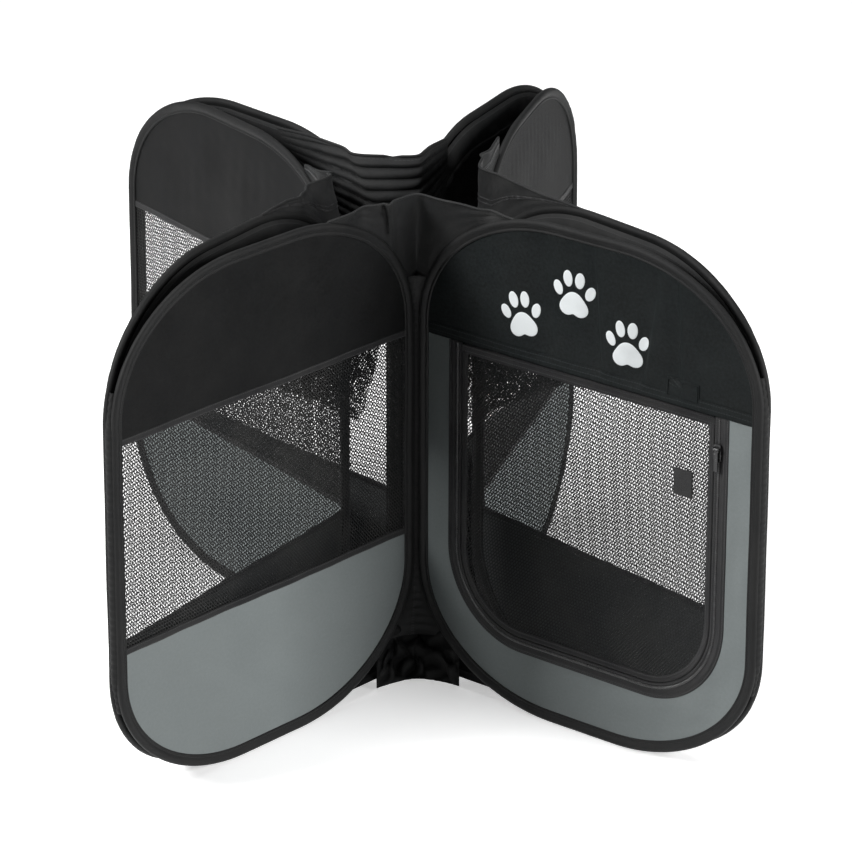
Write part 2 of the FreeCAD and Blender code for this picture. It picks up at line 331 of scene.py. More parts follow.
def make_piece(name, parts, materials, pick=None, closed=True, angle=0.9):
    """One mesh object from several parts. pick gives each part's material by its place in materials."""
    if closed:
        parts = [outward(p) for p in parts]
    pick = pick or [0] * len(parts)
    starts = np.cumsum([0] + [len(p[0]) for p in parts])
    verts = np.concatenate([p[0] for p in parts])
    faces = np.concatenate([p[1] + s for p, s in zip(parts, starts)])
    uv = np.concatenate([p[2] for p in parts])
    slots = np.concatenate([np.full(len(p[1]), k) if np.isscalar(k) else k for p, k in zip(parts, pick)])
    mesh = bpy.data.meshes.new(name)
    mesh.vertices.add(len(verts))
    mesh.vertices.foreach_set("co", verts.astype(np.float32).ravel())
    mesh.loops.add(faces.size)
    mesh.loops.foreach_set("vertex_index", faces.astype(np.int32).ravel())
    mesh.polygons.add(len(faces))
    mesh.polygons.foreach_set("loop_start", np.arange(0, faces.size, 4, dtype=np.int32))
    mesh.polygons.foreach_set("material_index", slots.astype(np.int32))
    mesh.update(calc_edges=True)
    mesh.uv_layers.new(name="cloth").data.foreach_set("uv", uv.astype(np.float32).ravel())
    mesh.polygons.foreach_set("use_smooth", np.ones(len(faces), bool))
    mesh.set_sharp_from_angle(angle=angle)
    mesh.validate()
    for m in materials:
        mesh.materials.append(bpy.data.materials[m])
    obj = bpy.data.objects.new(name, mesh)
    bpy.context.scene.collection.objects.link(obj)
    return obj


# ---------------------------------------------------------------- materials


def feed(tree, socket, value):
    """Sets an input: by a link where the value is another node's output, and as a plain value otherwise."""
    if isinstance(value, bpy.types.NodeSocket):
        tree.links.new(value, socket)
    else:
        socket.default_value = value


def node(tree, kind, label="", **inputs):
    """Adds a shader node and sets its inputs by name or, for in0 and so on, by place."""
    made = tree.nodes.new(kind)
    made.label = label
    for key, value in inputs.items():
        by_place = key.startswith("in") and key[2:].isdigit()
        feed(tree, made.inputs[int(key[2:]) if by_place else key.replace("_", " ")], value)
    return made


def maths(tree, operation, a, b=0.0, c=None, clamp=False):
    """One Math node; gives its output."""
    made = node(tree, "ShaderNodeMath", in0=a, in1=b)
    made.operation, made.use_clamp = operation, clamp
    if c is not None:
        feed(tree, made.inputs[2], c)
    return made.outputs[0]


def vector_maths(tree, operation, a, b=None):
    """One Vector Math node; gives its output."""
    made = node(tree, "ShaderNodeVectorMath", in0=a)
    made.operation = operation
    if b is not None:
        feed(tree, made.inputs["Scale" if operation == "SCALE" else 1], b)
    return made.outputs["Value" if operation == "LENGTH" else "Vector"]


def mixed(tree, share, first, second):
    """One Mix node for colours; gives its output."""
    made = node(tree, "ShaderNodeMix")
    made.data_type = "RGBA"
    for place, value in ((0, share), (6, first), (7, second)):
        feed(tree, made.inputs[place], value)
    return made.outputs[2]


def noise(tree, vector, scale, detail=2.0, label="", **inputs):
    """One Noise node; gives its level."""
    return node(tree, "ShaderNodeTexNoise", label, Vector=vector, Scale=scale, Detail=detail, **inputs).outputs["Fac"]


def centred(tree, value, middle, gain, clamp=True):
    """A value's distance over a middle, multiplied."""
    return maths(tree, "MULTIPLY", maths(tree, "SUBTRACT", value, middle), gain, clamp=clamp)


def group(name, inputs, outputs):
    """A new shader node group with named sockets; gives the tree, its inputs and its output node's inputs."""
    tree = bpy.data.node_groups.new(name, "ShaderNodeTree")
    for label, kind, default in [("Vector", "Vector", None)] + inputs:
        socket = tree.interface.new_socket(name=label, in_out="INPUT", socket_type="NodeSocket" + kind)
        if default is not None:
            socket.default_value = default
    for label, kind in outputs:
        tree.interface.new_socket(name=label, in_out="OUTPUT", socket_type="NodeSocket" + kind)
    return tree, tree.nodes.new("NodeGroupInput").outputs, tree.nodes.new("NodeGroupOutput").inputs


def build_groups():
    """Shared effects: woven threads, mesh holes, rows of stitches, and dust with wear."""
    plain = (0.1, 0.1, 0.1, 1)
    tree, given, out = group(
        "woven_threads",
        [("Threads", "Float", 1400.0), ("Colour", "Color", plain), ("Contrast", "Float", 0.25)],
        [("Colour", "Color"), ("Height", "Float"), ("Roughness", "Float")],
    )
    turned = vector_maths(tree, "SCALE", given["Vector"], maths(tree, "MULTIPLY", given["Threads"], math.pi))
    axes = node(tree, "ShaderNodeSeparateXYZ", in0=turned).outputs
    crossing = maths(tree, "MULTIPLY", maths(tree, "SINE", axes[0]), maths(tree, "SINE", axes[1]))
    weave = maths(tree, "MULTIPLY_ADD", crossing, 0.5, 0.5)
    slub = noise(tree, given["Vector"], 260.0, 3.0, "slubs", Roughness=0.65)
    broad = noise(tree, given["Vector"], 14.0, 2.0, "dye", Roughness=0.5)
    height = maths(tree, "MULTIPLY_ADD", slub, 0.6, maths(tree, "MULTIPLY", weave, 0.5))
    weave = maths(tree, "SUBTRACT", weave, 0.5)
    shade = maths(tree, "MULTIPLY_ADD", maths(tree, "SUBTRACT", slub, 0.5), 2.2, weave)
    shade = maths(tree, "MULTIPLY_ADD", maths(tree, "SUBTRACT", broad, 0.5), 0.9, shade)
    level = maths(tree, "MULTIPLY_ADD", shade, given["Contrast"], 1.0)
    feed(tree, out["Colour"], vector_maths(tree, "SCALE", given["Colour"], level))
    feed(tree, out["Height"], height)
    feed(tree, out["Roughness"], maths(tree, "MULTIPLY_ADD", slub, 0.25, 0.5))

    tree, given, out = group(
        "mesh_holes",
        [("Pitch Across", "Float", 0.0064), ("Pitch Up", "Float", 0.0052), ("Hole", "Float", 0.00102)],
        [("Alpha", "Float"), ("Height", "Float")],
    )
    pitch = node(
        tree, "ShaderNodeCombineXYZ", in0=given["Pitch Across"], in1=given["Pitch Up"], in2=1.0
    ).outputs[0]
    away = []
    for shift in (0.5, 1.0):
        cell = vector_maths(tree, "DIVIDE", given["Vector"], pitch)
        cell = vector_maths(tree, "ADD", cell, (shift, shift, 0.0))
        cell = vector_maths(tree, "FRACTION", cell)
        cell = vector_maths(tree, "SUBTRACT", cell, (0.5, 0.5, 0.0))
        cell = vector_maths(tree, "MULTIPLY", cell, pitch)
        cell = vector_maths(tree, "MULTIPLY", cell, (1.0, 0.52, 0.0))
        away.append(vector_maths(tree, "LENGTH", cell))
    edge = maths(tree, "SUBTRACT", maths(tree, "MINIMUM", *away), given["Hole"])
    feed(tree, out["Alpha"], maths(tree, "MULTIPLY_ADD", edge, 7000.0, 0.5, clamp=True))
    feed(tree, out["Height"], maths(tree, "MULTIPLY", edge, 1500.0, clamp=True))

    tree, given, out = group(
        "stitch_row",
        [("Line", "Float", 0.0105), ("Stitch", "Float", 0.0036), ("Width", "Float", 0.0006)],
        [("Mask", "Float")],
    )
    axes = node(tree, "ShaderNodeSeparateXYZ", in0=given["Vector"]).outputs
    off = maths(tree, "ABSOLUTE", maths(tree, "SUBTRACT", axes[1], given["Line"]))
    on_line = centred(tree, given["Width"], off, 4000.0)
    beat = maths(tree, "FRACT", maths(tree, "DIVIDE", axes[0], given["Stitch"]))
    dash = centred(tree, 0.39, maths(tree, "ABSOLUTE", maths(tree, "SUBTRACT", beat, 0.5)), 12.0)
    feed(tree, out["Mask"], maths(tree, "MULTIPLY", on_line, dash))

    tree, given, out = group(
        "dust_and_wear",
        [("Colour", "Color", plain), ("Dust", "Float", 0.1), ("Dust Colour", "Color", (0.3, 0.29, 0.27, 1))],
        [("Colour", "Color")],
    )
    cloud = noise(tree, given["Vector"], 9.0, 5.0, "settled dust", Roughness=0.7)
    lint = node(tree, "ShaderNodeTexVoronoi", "lint", Vector=given["Vector"], Scale=240.0)
    specks = centred(tree, 0.16, lint.outputs["Distance"], 6.0)
    share = maths(tree, "MULTIPLY_ADD", specks, 0.5, centred(tree, cloud, 0.42, 2.5))
    share = maths(tree, "MULTIPLY", share, given["Dust"], clamp=True)
    feed(tree, out["Colour"], mixed(tree, share, given["Colour"], given["Dust Colour"]))


def placed(tree, name, **inputs):
    """Places a shared group in a material, with its own values; gives its outputs."""
    made = tree.nodes.new("ShaderNodeGroup")
    made.node_tree = bpy.data.node_groups[name]
    for key, value in inputs.items():
        feed(tree, made.inputs[key.replace("_", " ")], value)
    return made.outputs


def new_material(name):
    """A material: its tree, its Principled shader's inputs, the piece's UV map and its Object coordinates."""
    m = bpy.data.materials.new(name)
    m.use_nodes = True
    tree = m.node_tree
    coords = node(tree, "ShaderNodeTexCoord").outputs
    return tree, tree.nodes["Principled BSDF"].inputs, coords["UV"], coords["Object"]


def surface(tree, shader, colour, roughness, bump=None, **values):
    """Feeds a shader its colour, its roughness, its bump as strength, depth and height, and other values."""
    feed(tree, shader["Base Color"], colour)
    feed(tree, shader["Roughness"], roughness)
    if bump:
        raised = node(tree, "ShaderNodeBump", Strength=bump[0], Distance=bump[1], Height=bump[2])
        feed(tree, shader["Normal"], raised.outputs[0])
    for key, value in values.items():
        feed(tree, shader[key.replace("_", " ")], value)


def dusty(tree, place, colour, dust):
    """A colour with lint and settled dust over it."""
    return placed(tree, "dust_and_wear", Vector=place, Colour=colour, Dust=dust)["Colour"]


def stitched(tree, uv, lines, colour, height, thread, share, proud, **row):
    """Lays rows of stitches over a colour and a height; gives both."""
    for line in lines:
        mask = placed(tree, "stitch_row", Vector=uv, Line=line, **row)["Mask"]
        colour = mixed(tree, maths(tree, "MULTIPLY", mask, share), colour, thread)
        height = maths(tree, "MULTIPLY_ADD", mask, proud, height)
    return colour, height


def cloth_material(name, colour, threads, contrast, dust, bump, sheen, stitches=(), specular=0.35):
    """Woven polyester: threads and slubs in colour, roughness and bump, lint and dust, a soft sheen, and rows of
    stitches where the UV map says."""
    tree, shader, uv, place = new_material(name)
    woven = placed(tree, "woven_threads", Vector=uv, Threads=threads, Colour=(*colour, 1), Contrast=contrast)
    thread = (*(c * 2.6 + 0.01 for c in colour), 1)
    colour, height = stitched(tree, uv, stitches, woven["Colour"], woven["Height"], thread, 0.55, 1.6)
    surface(
        tree,
        shader,
        dusty(tree, place, colour, dust),
        woven["Roughness"],
        (bump, 0.0006, height),
        Specular_IOR_Level=specular,
        Sheen_Weight=sheen,
        Sheen_Roughness=0.45,
        Sheen_Tint=(0.75, 0.78, 0.8, 1),
    )


def mesh_material(name, colour, hole, pitch=(0.0064, 0.0052), turn=-0.72):
    """Knitted mesh: staggered oval holes on slanting rows, cut by alpha, with a rounded thread round each."""
    tree, shader, uv, place = new_material(name)
    mapped = node(tree, "ShaderNodeMapping", Vector=uv, Rotation=(0, 0, turn)).outputs[0]
    holes = placed(tree, "mesh_holes", Vector=mapped, Pitch_Across=pitch[0], Pitch_Up=pitch[1], Hole=hole)
    surface(
        tree,
        shader,
        dusty(tree, place, (*colour, 1), 0.12),
        maths(tree, "MULTIPLY_ADD", noise(tree, uv, 900.0), 0.3, 0.4),
        (0.5, 0.0004, holes["Height"]),
        Alpha=holes["Alpha"],
        Specular_IOR_Level=0.2,
    )


def tape_material(name, colour, ribs, stitches):
    """Ribbed tape: fine ribs across its width, stitched near its edges."""
    tree, shader, uv, place = new_material(name)
    axes = node(tree, "ShaderNodeSeparateXYZ", in0=uv).outputs
    wave = maths(tree, "SINE", maths(tree, "MULTIPLY", axes[0], ribs * 2 * math.pi))
    rib = maths(tree, "MULTIPLY_ADD", wave, 0.5, 0.5)
    fuzz = noise(tree, uv, 500.0, 4.0)
    shade = maths(tree, "MULTIPLY_ADD", rib, 0.35, maths(tree, "MULTIPLY_ADD", fuzz, 0.6, 0.55))
    height = maths(tree, "MULTIPLY_ADD", fuzz, 0.5, rib)
    tint, thread = vector_maths(tree, "SCALE", colour, shade), (0.05, 0.052, 0.053, 1)
    tint, height = stitched(tree, uv, stitches, tint, height, thread, 0.6, 1.5, Stitch=0.003)
    surface(
        tree,
        shader,
        dusty(tree, place, tint, 0.08),
        maths(tree, "MULTIPLY_ADD", fuzz, 0.25, 0.4),
        (0.5, 0.0005, height),
        Specular_IOR_Level=0.25,
    )


def build_materials(look):
    """Every finish of the playpen."""
    build_groups()
    black, grey = tuple(look.black), tuple(look.grey)
    door_black = (black[0] * 1.5, black[1] * 1.8, black[2] * 1.8)

    def blacker(by):
        return tuple(c * by for c in black)

    cloth_material("binding_cloth", black, 1700.0, 0.6, 0.03, 0.3, 0.02, (0.0106,), 0.22)
    cloth_material("upper_cloth", blacker(1.2), 1500.0, 0.9, 0.02, 0.3, 0.0, specular=0.1)
    cloth_material("door_upper_cloth", door_black, 1500.0, 1.0, 0.02, 0.3, 0.0, (0.003, 0.009), 0.1)
    cloth_material("woven_grey", grey, 1500.0, 0.12, 0.05, 0.35, 0.02)
    cloth_material("roof_cloth", blacker(1.5), 1500.0, 0.7, 0.05, 0.4, 0.05, (0.004,), 0.2)
    cloth_material("floor_cloth", blacker(0.7), 1500.0, 0.5, 0.03, 0.35, 0.02, specular=0.12)
    # Painted shade and light: one dull dark grey for the inside face of every panel cloth. It is darker than the grey
    # cloth, as painted shade inside the pen, and lighter than the black cloth, as painted light where that inside is
    # lit from above.
    cloth_material("inside_shade_and_light", (0.05, 0.053, 0.053), 1500.0, 0.5, 0.03, 0.35, 0.0, specular=0.08)
    net = (0.009, 0.0095, 0.01)
    mesh_material("knitted_window", net, look.hole)
    mesh_material("door_mesh_cloth", net, look.hole)
    mesh_material("knitted_back", net, look.hole, turn=0.55)
    mesh_material("roof_mesh", (0.007, 0.0075, 0.008), look.hole * 0.72, pitch=(0.0056, 0.004))
    tape_material("seam_tape", (0.008, 0.008, 0.009), 1000.0, (0.0012, 0.0068))
    tape_material("zip_tape_cloth", (0.009, 0.009, 0.01), 1300.0, (0.002, 0.0168))
    tape_material("door_tape_cloth", (0.009, 0.009, 0.01), 1300.0, (0.0062,))

    tree, shader, _, place = new_material("zip_coil")
    worn = noise(tree, place, 180.0, 4.0)
    tint = mixed(tree, centred(tree, worn, 0.5, 3.0), (0.014, 0.014, 0.015, 1), (0.06, 0.062, 0.064, 1))
    surface(tree, shader, dusty(tree, place, tint, 0.12), maths(tree, "MULTIPLY_ADD", worn, 0.3, 0.18))

    tree, shader, _, place = new_material("slider_metal")
    worn = noise(tree, place, 420.0, 5.0)
    bare = centred(tree, worn, 0.6, 7.0)
    tint = mixed(tree, bare, (0.012, 0.012, 0.013, 1), (0.32, 0.32, 0.31, 1))
    metal = maths(tree, "MULTIPLY", bare, 0.8)
    rough = maths(tree, "MULTIPLY_ADD", worn, 0.25, 0.2)
    surface(tree, shader, tint, rough, (0.2, 0.0002, worn), Metallic=metal)

    tree, shader, _, place = new_material("spring_steel")
    drawn = noise(tree, place, 700.0, 3.0)
    tint = mixed(tree, drawn, (0.3, 0.3, 0.31, 1), (0.5, 0.49, 0.47, 1))
    surface(tree, shader, tint, maths(tree, "MULTIPLY_ADD", drawn, 0.3, 0.2), Metallic=1.0)

    tree, shader, _, place = new_material("hook_pad")
    hooks = node(tree, "ShaderNodeTexVoronoi", Vector=place, Scale=900.0).outputs["Distance"]
    tint = vector_maths(tree, "SCALE", (0.009, 0.009, 0.0095), maths(tree, "MULTIPLY_ADD", hooks, 1.6, 0.3))
    rough = maths(tree, "MULTIPLY_ADD", hooks, 0.4, 0.55)
    surface(tree, shader, dusty(tree, place, tint, 0.1), rough, (0.8, 0.0008, hooks))

    tree, shader, uv, place = new_material("white_print")
    woven = placed(tree, "woven_threads", Vector=uv, Threads=1500.0, Colour=(0.86, 0.9, 0.91, 1), Contrast=0.03)
    rough = maths(tree, "MULTIPLY", woven["Roughness"], 0.9)
    surface(tree, shader, dusty(tree, place, woven["Colour"], 0.05), rough, (0.15, 0.0004, woven["Height"]))

    tree, shader, _, place = new_material("studio_floor")
    mottle = noise(tree, place, 3.0, 4.0)
    tint = mixed(tree, mottle, (0.9, 0.9, 0.9, 1), (0.93, 0.93, 0.93, 1))
    glow = {"Emission_Color": (1, 1, 1, 1), "Emission_Strength": 0.46}
    surface(
        tree, shader, tint, maths(tree, "MULTIPLY_ADD", mottle, 0.1, 0.8), Specular_IOR_Level=0.1, **glow
    )


def dress_cad_nodes():
    """Gives every CAD part the detailed finish of its kind."""
    finish = {
        "wire": "spring_steel",
        "binding": "binding_cloth",
        "upper": "upper_cloth",
        "window": "knitted_window",
        "lower": "woven_grey",
    }
    named = {
        "zip_slider": "slider_metal",
        "zip_pull": "slider_metal",
        "door_patch": "hook_pad",
        "door_mesh": "door_mesh_cloth",
        "frame_zip_tape": "zip_tape_cloth",
        "door_zip_tape": "door_tape_cloth",
        "door_surround": "woven_grey",
    }
    for name, obj in frame["nodes"].items():
        rest = "roof_mesh" if name.startswith("cover") else "floor_cloth"
        kind = named.get(name) or finish.get(name.split("_")[-1]) or rest
        obj.data.materials.clear()
        obj.data.materials.append(bpy.data.materials[kind])


# ---------------------------------------------------------------- pieces


def binding_profile():
    """Half the sleeve's section, from the rim inwards: a round bulge over the wire, a stitched groove, then a small
    ridge at the inner edge. Gives the distances in from the rim and out from the middle."""
    inwards = (0, 0.25, 0.9, 2.1, 3.6, 5.2, 6.8, 8.2, 9.4, 10.2, 10.8, 11.4, 12.1, 12.9, 13.6, 14)
    outwards = (0, 1.5, 2.7, 3.6, 4.1, 4.15, 3.7, 2.9, 2.1, 1.6, 1.5, 1.85, 2.3, 2.35, 1.8, 1)
    return np.array(inwards) * 0.001, np.array(outwards) * 0.001


def binding(panel):
    """The sleeve: its profile carried round the rim, with soft wrinkles across it that are strongest at the corners."""
    half_in, half_out = binding_profile()
    inset = np.concatenate([half_in, half_in[::-1]])
    out = np.concatenate([half_out, -half_out[::-1]])
    out[0], out[-1] = 0.0004, -0.0004
    x, z = rim(inset)
    step = np.hypot(np.roll(x, -1, 0) - x, np.roll(z, -1, 0) - z)[:, :1]
    length = np.concatenate([[[0.0]], np.cumsum(step, 0)])
    s = length[:-1]
    round_corner = np.exp(-((np.abs(z[:, :1] - HEIGHT / 2) - 0.235) / 0.05) ** 2)
    loop = TURN / length[-1, 0]
    rng = np.random.default_rng(40 + panel)
    wave = np.zeros_like(s)
    for k in (19, 31, 47, 74, 103):
        wave = wave + np.sin(loop * k * s + rng.uniform(0, 6.28)) / 5
    wave2 = sum(np.sin(loop * k * s + rng.uniform(0, 6.28)) for k in (3, 5, 8, 13)) / 4
    bulge = np.clip(out[None, :] / 0.0041, -1, 1)
    y = out[None, :] * (1 + 0.05 * wave2) + wave * (0.00022 + 0.0006 * round_corner) * bulge
    y = y + 0.0006 * wave2
    uv = spread(length, np.append(inset, inset[0]))
    sleeve = patch(seat(spread(x, y, z), panel), uv, along=True, around=True)
    obj = make_piece("binding_%d" % panel, [sleeve], ["binding_cloth"], angle=1.2)
    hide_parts("panel_%d_binding" % panel)
    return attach(obj, "panel_%d" % panel)


def cloth_rows(low, high, inset, count=100):
    """Heights for a cloth's rows, closer together where the rim curves in."""
    t = np.linspace(0, 1, count)
    top = HEIGHT - inset - 0.0015
    foot = inset + 0.0015
    a, b = max(low, foot), min(high, top)
    z = a + (b - a) * t
    if high >= HEIGHT - 0.001:
        z = a + (b - a) * np.sin(t * math.pi / 2)
    elif low <= 0.001:
        z = a + (b - a) * (1 - np.cos(t * math.pi / 2))
    return z


def sheet_between(low, high, inset, columns=70, count=46):
    """A panel's cloth as level rows between the rim's two sides; gives x, z, the row ends and the rows' heights."""
    z = cloth_rows(low, high, inset, count)
    left, right = rim_sides(z, inset)
    q = np.linspace(0, 1, columns)[None, :]
    x = left[:, None] + (right - left)[:, None] * q
    return x, z[:, None] + 0 * x, left, right, z


def calm(q, r):
    """1 in the middle of a cloth and 0 at its edges."""
    return np.sin(math.pi * np.clip(q, 0, 1)) ** 0.6 * np.sin(math.pi * np.clip(r, 0, 1)) ** 0.6


# Each hollow's place along the panel, its lean, its half width and its depth
HOLLOWS = (
    (0.232, 0.10, 0.010, 0.0042),
    (0.165, -0.16, 0.012, 0.0046),
    (0.118, 0.05, 0.009, 0.0036),
    (0.300, 0.12, 0.016, 0.0022),
)


def drape(x, z, q, r):
    """The slack of the door panel's upper cloth: soft hollows that lean a little and fade towards the rim, all on the
    inner side so that the folded door has room."""
    fade = np.clip(q / 0.06, 0, 1) * np.clip((1 - q) / 0.06, 0, 1)
    fade = fade * np.clip((1 - r) / 0.35, 0, 1) ** 0.7 * smooth(0.08 + r / 0.16)
    y = 0 * x
    for at, lean, wide, size in HOLLOWS:
        off = (x - at - lean * (z - 0.49)) / wide
        y = y - size * fade * np.exp(-np.where(off < 0, 2.2 * off, 0.6 * off) ** 2)
    return y


def door_cloth_out(x, z, q, r):
    """How far the door panel's upper cloth stands out at a place."""
    return drape(x, z, q, r) - calm(q, r) * 0.0003 * (1 + ripple(x, z, 14, 6, 20, 60))


def panel_cloth(panel, kind):
    """The upper or the lower cloth: flat at its edges, with a slight belly and a few drawn creases."""
    door, upper = panel == 1, kind == "upper"
    low, high = 0.0, LOWER_EDGE + 0.001
    if upper:
        low, high = UPPER_EDGE + (0.0005 if door else -0.001), HEIGHT
    x, z, left, right, rows = sheet_between(low, high, CLOTH_INSET, *((200, 100) if door else (70, 46)))
    q = (x - left[:, None]) / (right - left)[:, None]
    r = (z - rows[0]) / (rows[-1] - rows[0])
    if door:
        y = door_cloth_out(x, z, q, r)
    else:
        seed = panel * 10 + upper
        y = calm(q, r) * (0.0012 * ripple(x, z, seed, 5, 4, 12) + 0.0003 * ripple(x, z, seed + 3, 6, 20, 60))
    p = seat(spread(x, y, z), panel)
    finish = ("door_upper_cloth" if door else "upper_cloth") if upper else "woven_grey"
    # The inside faces take the painted inside shade and light.
    obj = make_piece(
        "%s_cloth_%d" % (kind, panel),
        [slab(p, THIN_CLOTH, spread(x, z - rows[0]))],
        [finish, "inside_shade_and_light"],
        pick=[inside_faces(p, PANELS[panel][2] < 0)],
    )
    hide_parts("panel_%d_%s" % (panel, kind))
    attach(obj, "panel_%d" % panel)


def window(panel):
    """The window: one layer of mesh, drawn tight with a faint belly."""
    x, z, left, right, rows = sheet_between(LOWER_EDGE, UPPER_EDGE, CLOTH_INSET, 40, 24)
    q = (x - left[:, None]) / (right - left)[:, None]
    r = (z - rows[0]) / (rows[-1] - rows[0])
    y = 0.0014 * np.sin(math.pi * q) * np.sin(math.pi * r) * ripple(x, z, 70 + panel, 4, 2, 6)
    net = patch(seat(spread(x, y, z), panel), spread(x, z), flip=PANELS[panel][2] > 0)
    finish = "knitted_back" if panel in (2, 4, 5, 7) else "knitted_window"
    obj = make_piece("window_%d" % panel, [net], [finish], closed=False)
    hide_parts("panel_%d_window" % panel)
    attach(obj, "panel_%d" % panel)


def band(centre, across, out, profile, uv_across):
    """A narrow band: a closed profile of (across, out), with an even number of points, carried along a line."""
    p = centre[:, None, :] + across * profile[None, :, :1] + out * profile[None, :, 1:2]
    verts, faces, face_uv = tube(p, spread(run_length(centre)[:, None], uv_across))
    n, m = p.shape[:2]
    j = np.arange(m // 2 - 1)
    caps = []
    for row, turn in ((0, 1), (n - 1, -1)):
        s = row * m
        quad = np.stack([s + j, s + m - 1 - j, s + m - 2 - j, s + j + 1], -1)
        caps.append(quad[:, ::turn])
    caps = np.concatenate(caps)
    cap_uv = np.zeros((len(caps), 4, 2))
    return verts, np.concatenate([faces, caps]), np.concatenate([face_uv, cap_uv])


def tape_profile(width, thick):
    """A flat tape's section with rounded edges, as an even number of points."""
    q = np.linspace(-1, 1, 9)
    h = thick / 2 * (1 - np.abs(q) ** 8 * 0.6)
    top = np.stack([q * width / 2, h], -1)
    low = np.stack([q[::-1] * width / 2, -h[::-1]], -1)
    return np.concatenate([top, low]), np.concatenate([(q + 1) / 2 * width, (q[::-1] + 1) / 2 * width])


def seam_tapes(panel):
    """The two tapes that cover the window's upper and lower seams."""
    parts = []
    profile, across_uv = tape_profile(0.008, 0.0026)
    out = np.array([*panel_axes(panel)[1], 0.0])
    for height in (UPPER_EDGE, LOWER_EDGE):
        left, right = rim_sides(np.array([height]), 0.0118)
        x = np.linspace(left[0], right[0], 60)
        y = 0.0003 * np.sin(x * 90 + panel)
        z = height + 0.0006 * np.sin(x * 23 + panel * 2.1)
        parts.append(band(seat(spread(x, y, z), panel), np.array([0.0, 0.0, 1.0]), out, profile, across_uv))
    obj = make_piece("seam_tapes_%d" % panel, parts, ["seam_tape"])
    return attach(obj, "panel_%d" % panel)


def door_surround():
    """The grey frame round the door: the space between the rim and the zip's U, filled row by row."""
    x_in, z_in = door_line(0.001, UPPER_EDGE)
    inset = CLOTH_INSET
    a, b = CORNER_LONG - inset, CORNER_HIGH - inset
    s = np.linspace(0, 1, DOOR_STEPS + 1)[:-1]
    t = s * math.pi / 2
    up = np.append(s, 1)
    xo = np.concatenate([
        inset + 0 * s,
        CORNER_LONG - a * np.cos(t),
        CORNER_LONG + (PANEL - 2 * CORNER_LONG) * s,
        PANEL - CORNER_LONG + a * np.sin(t),
        PANEL - inset + 0 * up,
    ])
    zo = np.concatenate([
        UPPER_EDGE + (CORNER_HIGH - UPPER_EDGE) * s,
        CORNER_HIGH - b * np.sin(t),
        inset + 0 * s,
        CORNER_HIGH - b * np.cos(t),
        CORNER_HIGH + (UPPER_EDGE - CORNER_HIGH) * up,
    ])
    q = np.linspace(0, 1, 12)[None, :]
    x = xo[:, None] + (x_in - xo[:, None]) * q
    z = zo[:, None] + (z_in - zo[:, None]) * q
    y = np.sin(math.pi * q) * (0.0009 * ripple(x, z, 5, 5, 5, 14) + 0.0003 * ripple(x, z, 6, 5, 20, 50))
    p = seat(spread(x, y, z), 1)
    cloth = slab(p, CLOTH, spread(x, z))
    # The inside face takes the painted inside shade.
    obj = make_piece("door_surround_cloth", [cloth], ["woven_grey", "inside_shade_and_light"], pick=[inside_faces(p, False)])
    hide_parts("door_surround")
    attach(obj, "panel_1")


def zip_strip(first, insets, outs, top):
    """A closed strip that follows the zip's U: rows round it, and columns over the insets from the first, in
    millimetres like each column's distance out."""
    insets = np.array(insets) * 0.001
    x, z = door_line(first + insets, top)
    p = seat(spread(x, np.array(outs) * 0.001, z), 1)
    return tube(p, spread(run_length(p).mean(1, keepdims=True), insets))


def zip_on_frame():
    """The frame's half of the zip: stitched tape, a soft fold beside the coil, and a coil with its teeth as beads
    along the U."""
    insets = (0, 0, 0.4, 1.6, 3, 4, 5, 7, 9, 10.6, 12, 14, 15.4, 16.6, 18, 18.7, 19, 19)
    outs = (-0.8, 0.7, 1.2, 1.3, 1, 1.5, 1.9, 1.6, 1.2, 1.1, 1.1, 1.1, 1.2, 1.7, 1.8, 1.5, 0.9, -0.8)
    parts = [zip_strip(0, insets, outs, UPPER_EDGE), zip_teeth(0.013, 0.0012, 0.0017)]
    obj = make_piece("frame_zip", parts, ["zip_tape_cloth", "zip_coil"], pick=[0, 1])
    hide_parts("frame_zip_tape")
    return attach(obj, "panel_1")


def zip_teeth(at, height, size):
    """The coil: a round bead line along the U whose radius swells once a tooth."""
    x, z = door_line(np.array([at]), UPPER_EDGE - 0.001)
    line = np.stack([x[:, 0], z[:, 0]], -1)
    length = np.concatenate([[0], np.cumsum(np.hypot(*np.diff(line, axis=0).T))])
    count = int(length[-1] / 0.00055)
    s = np.linspace(0, length[-1], count)
    px, pz = np.interp(s, length, line[:, 0]), np.interp(s, length, line[:, 1])
    tx, tz = np.gradient(px), np.gradient(pz)
    scale = np.hypot(tx, tz)
    nx, nz = -tz / scale, tx / scale
    a = turns(8)[None, :]
    swell = 1 + 0.28 * np.sin(s * TURN / 0.0022)[:, None]
    across = size * swell * np.cos(a)
    out = height + size * 0.55 * swell * np.sin(a)
    p = spread(px[:, None] + nx[:, None] * across, out, pz[:, None] + nz[:, None] * across)
    return tube(seat(p, 1), spread(s[:, None], a * size))


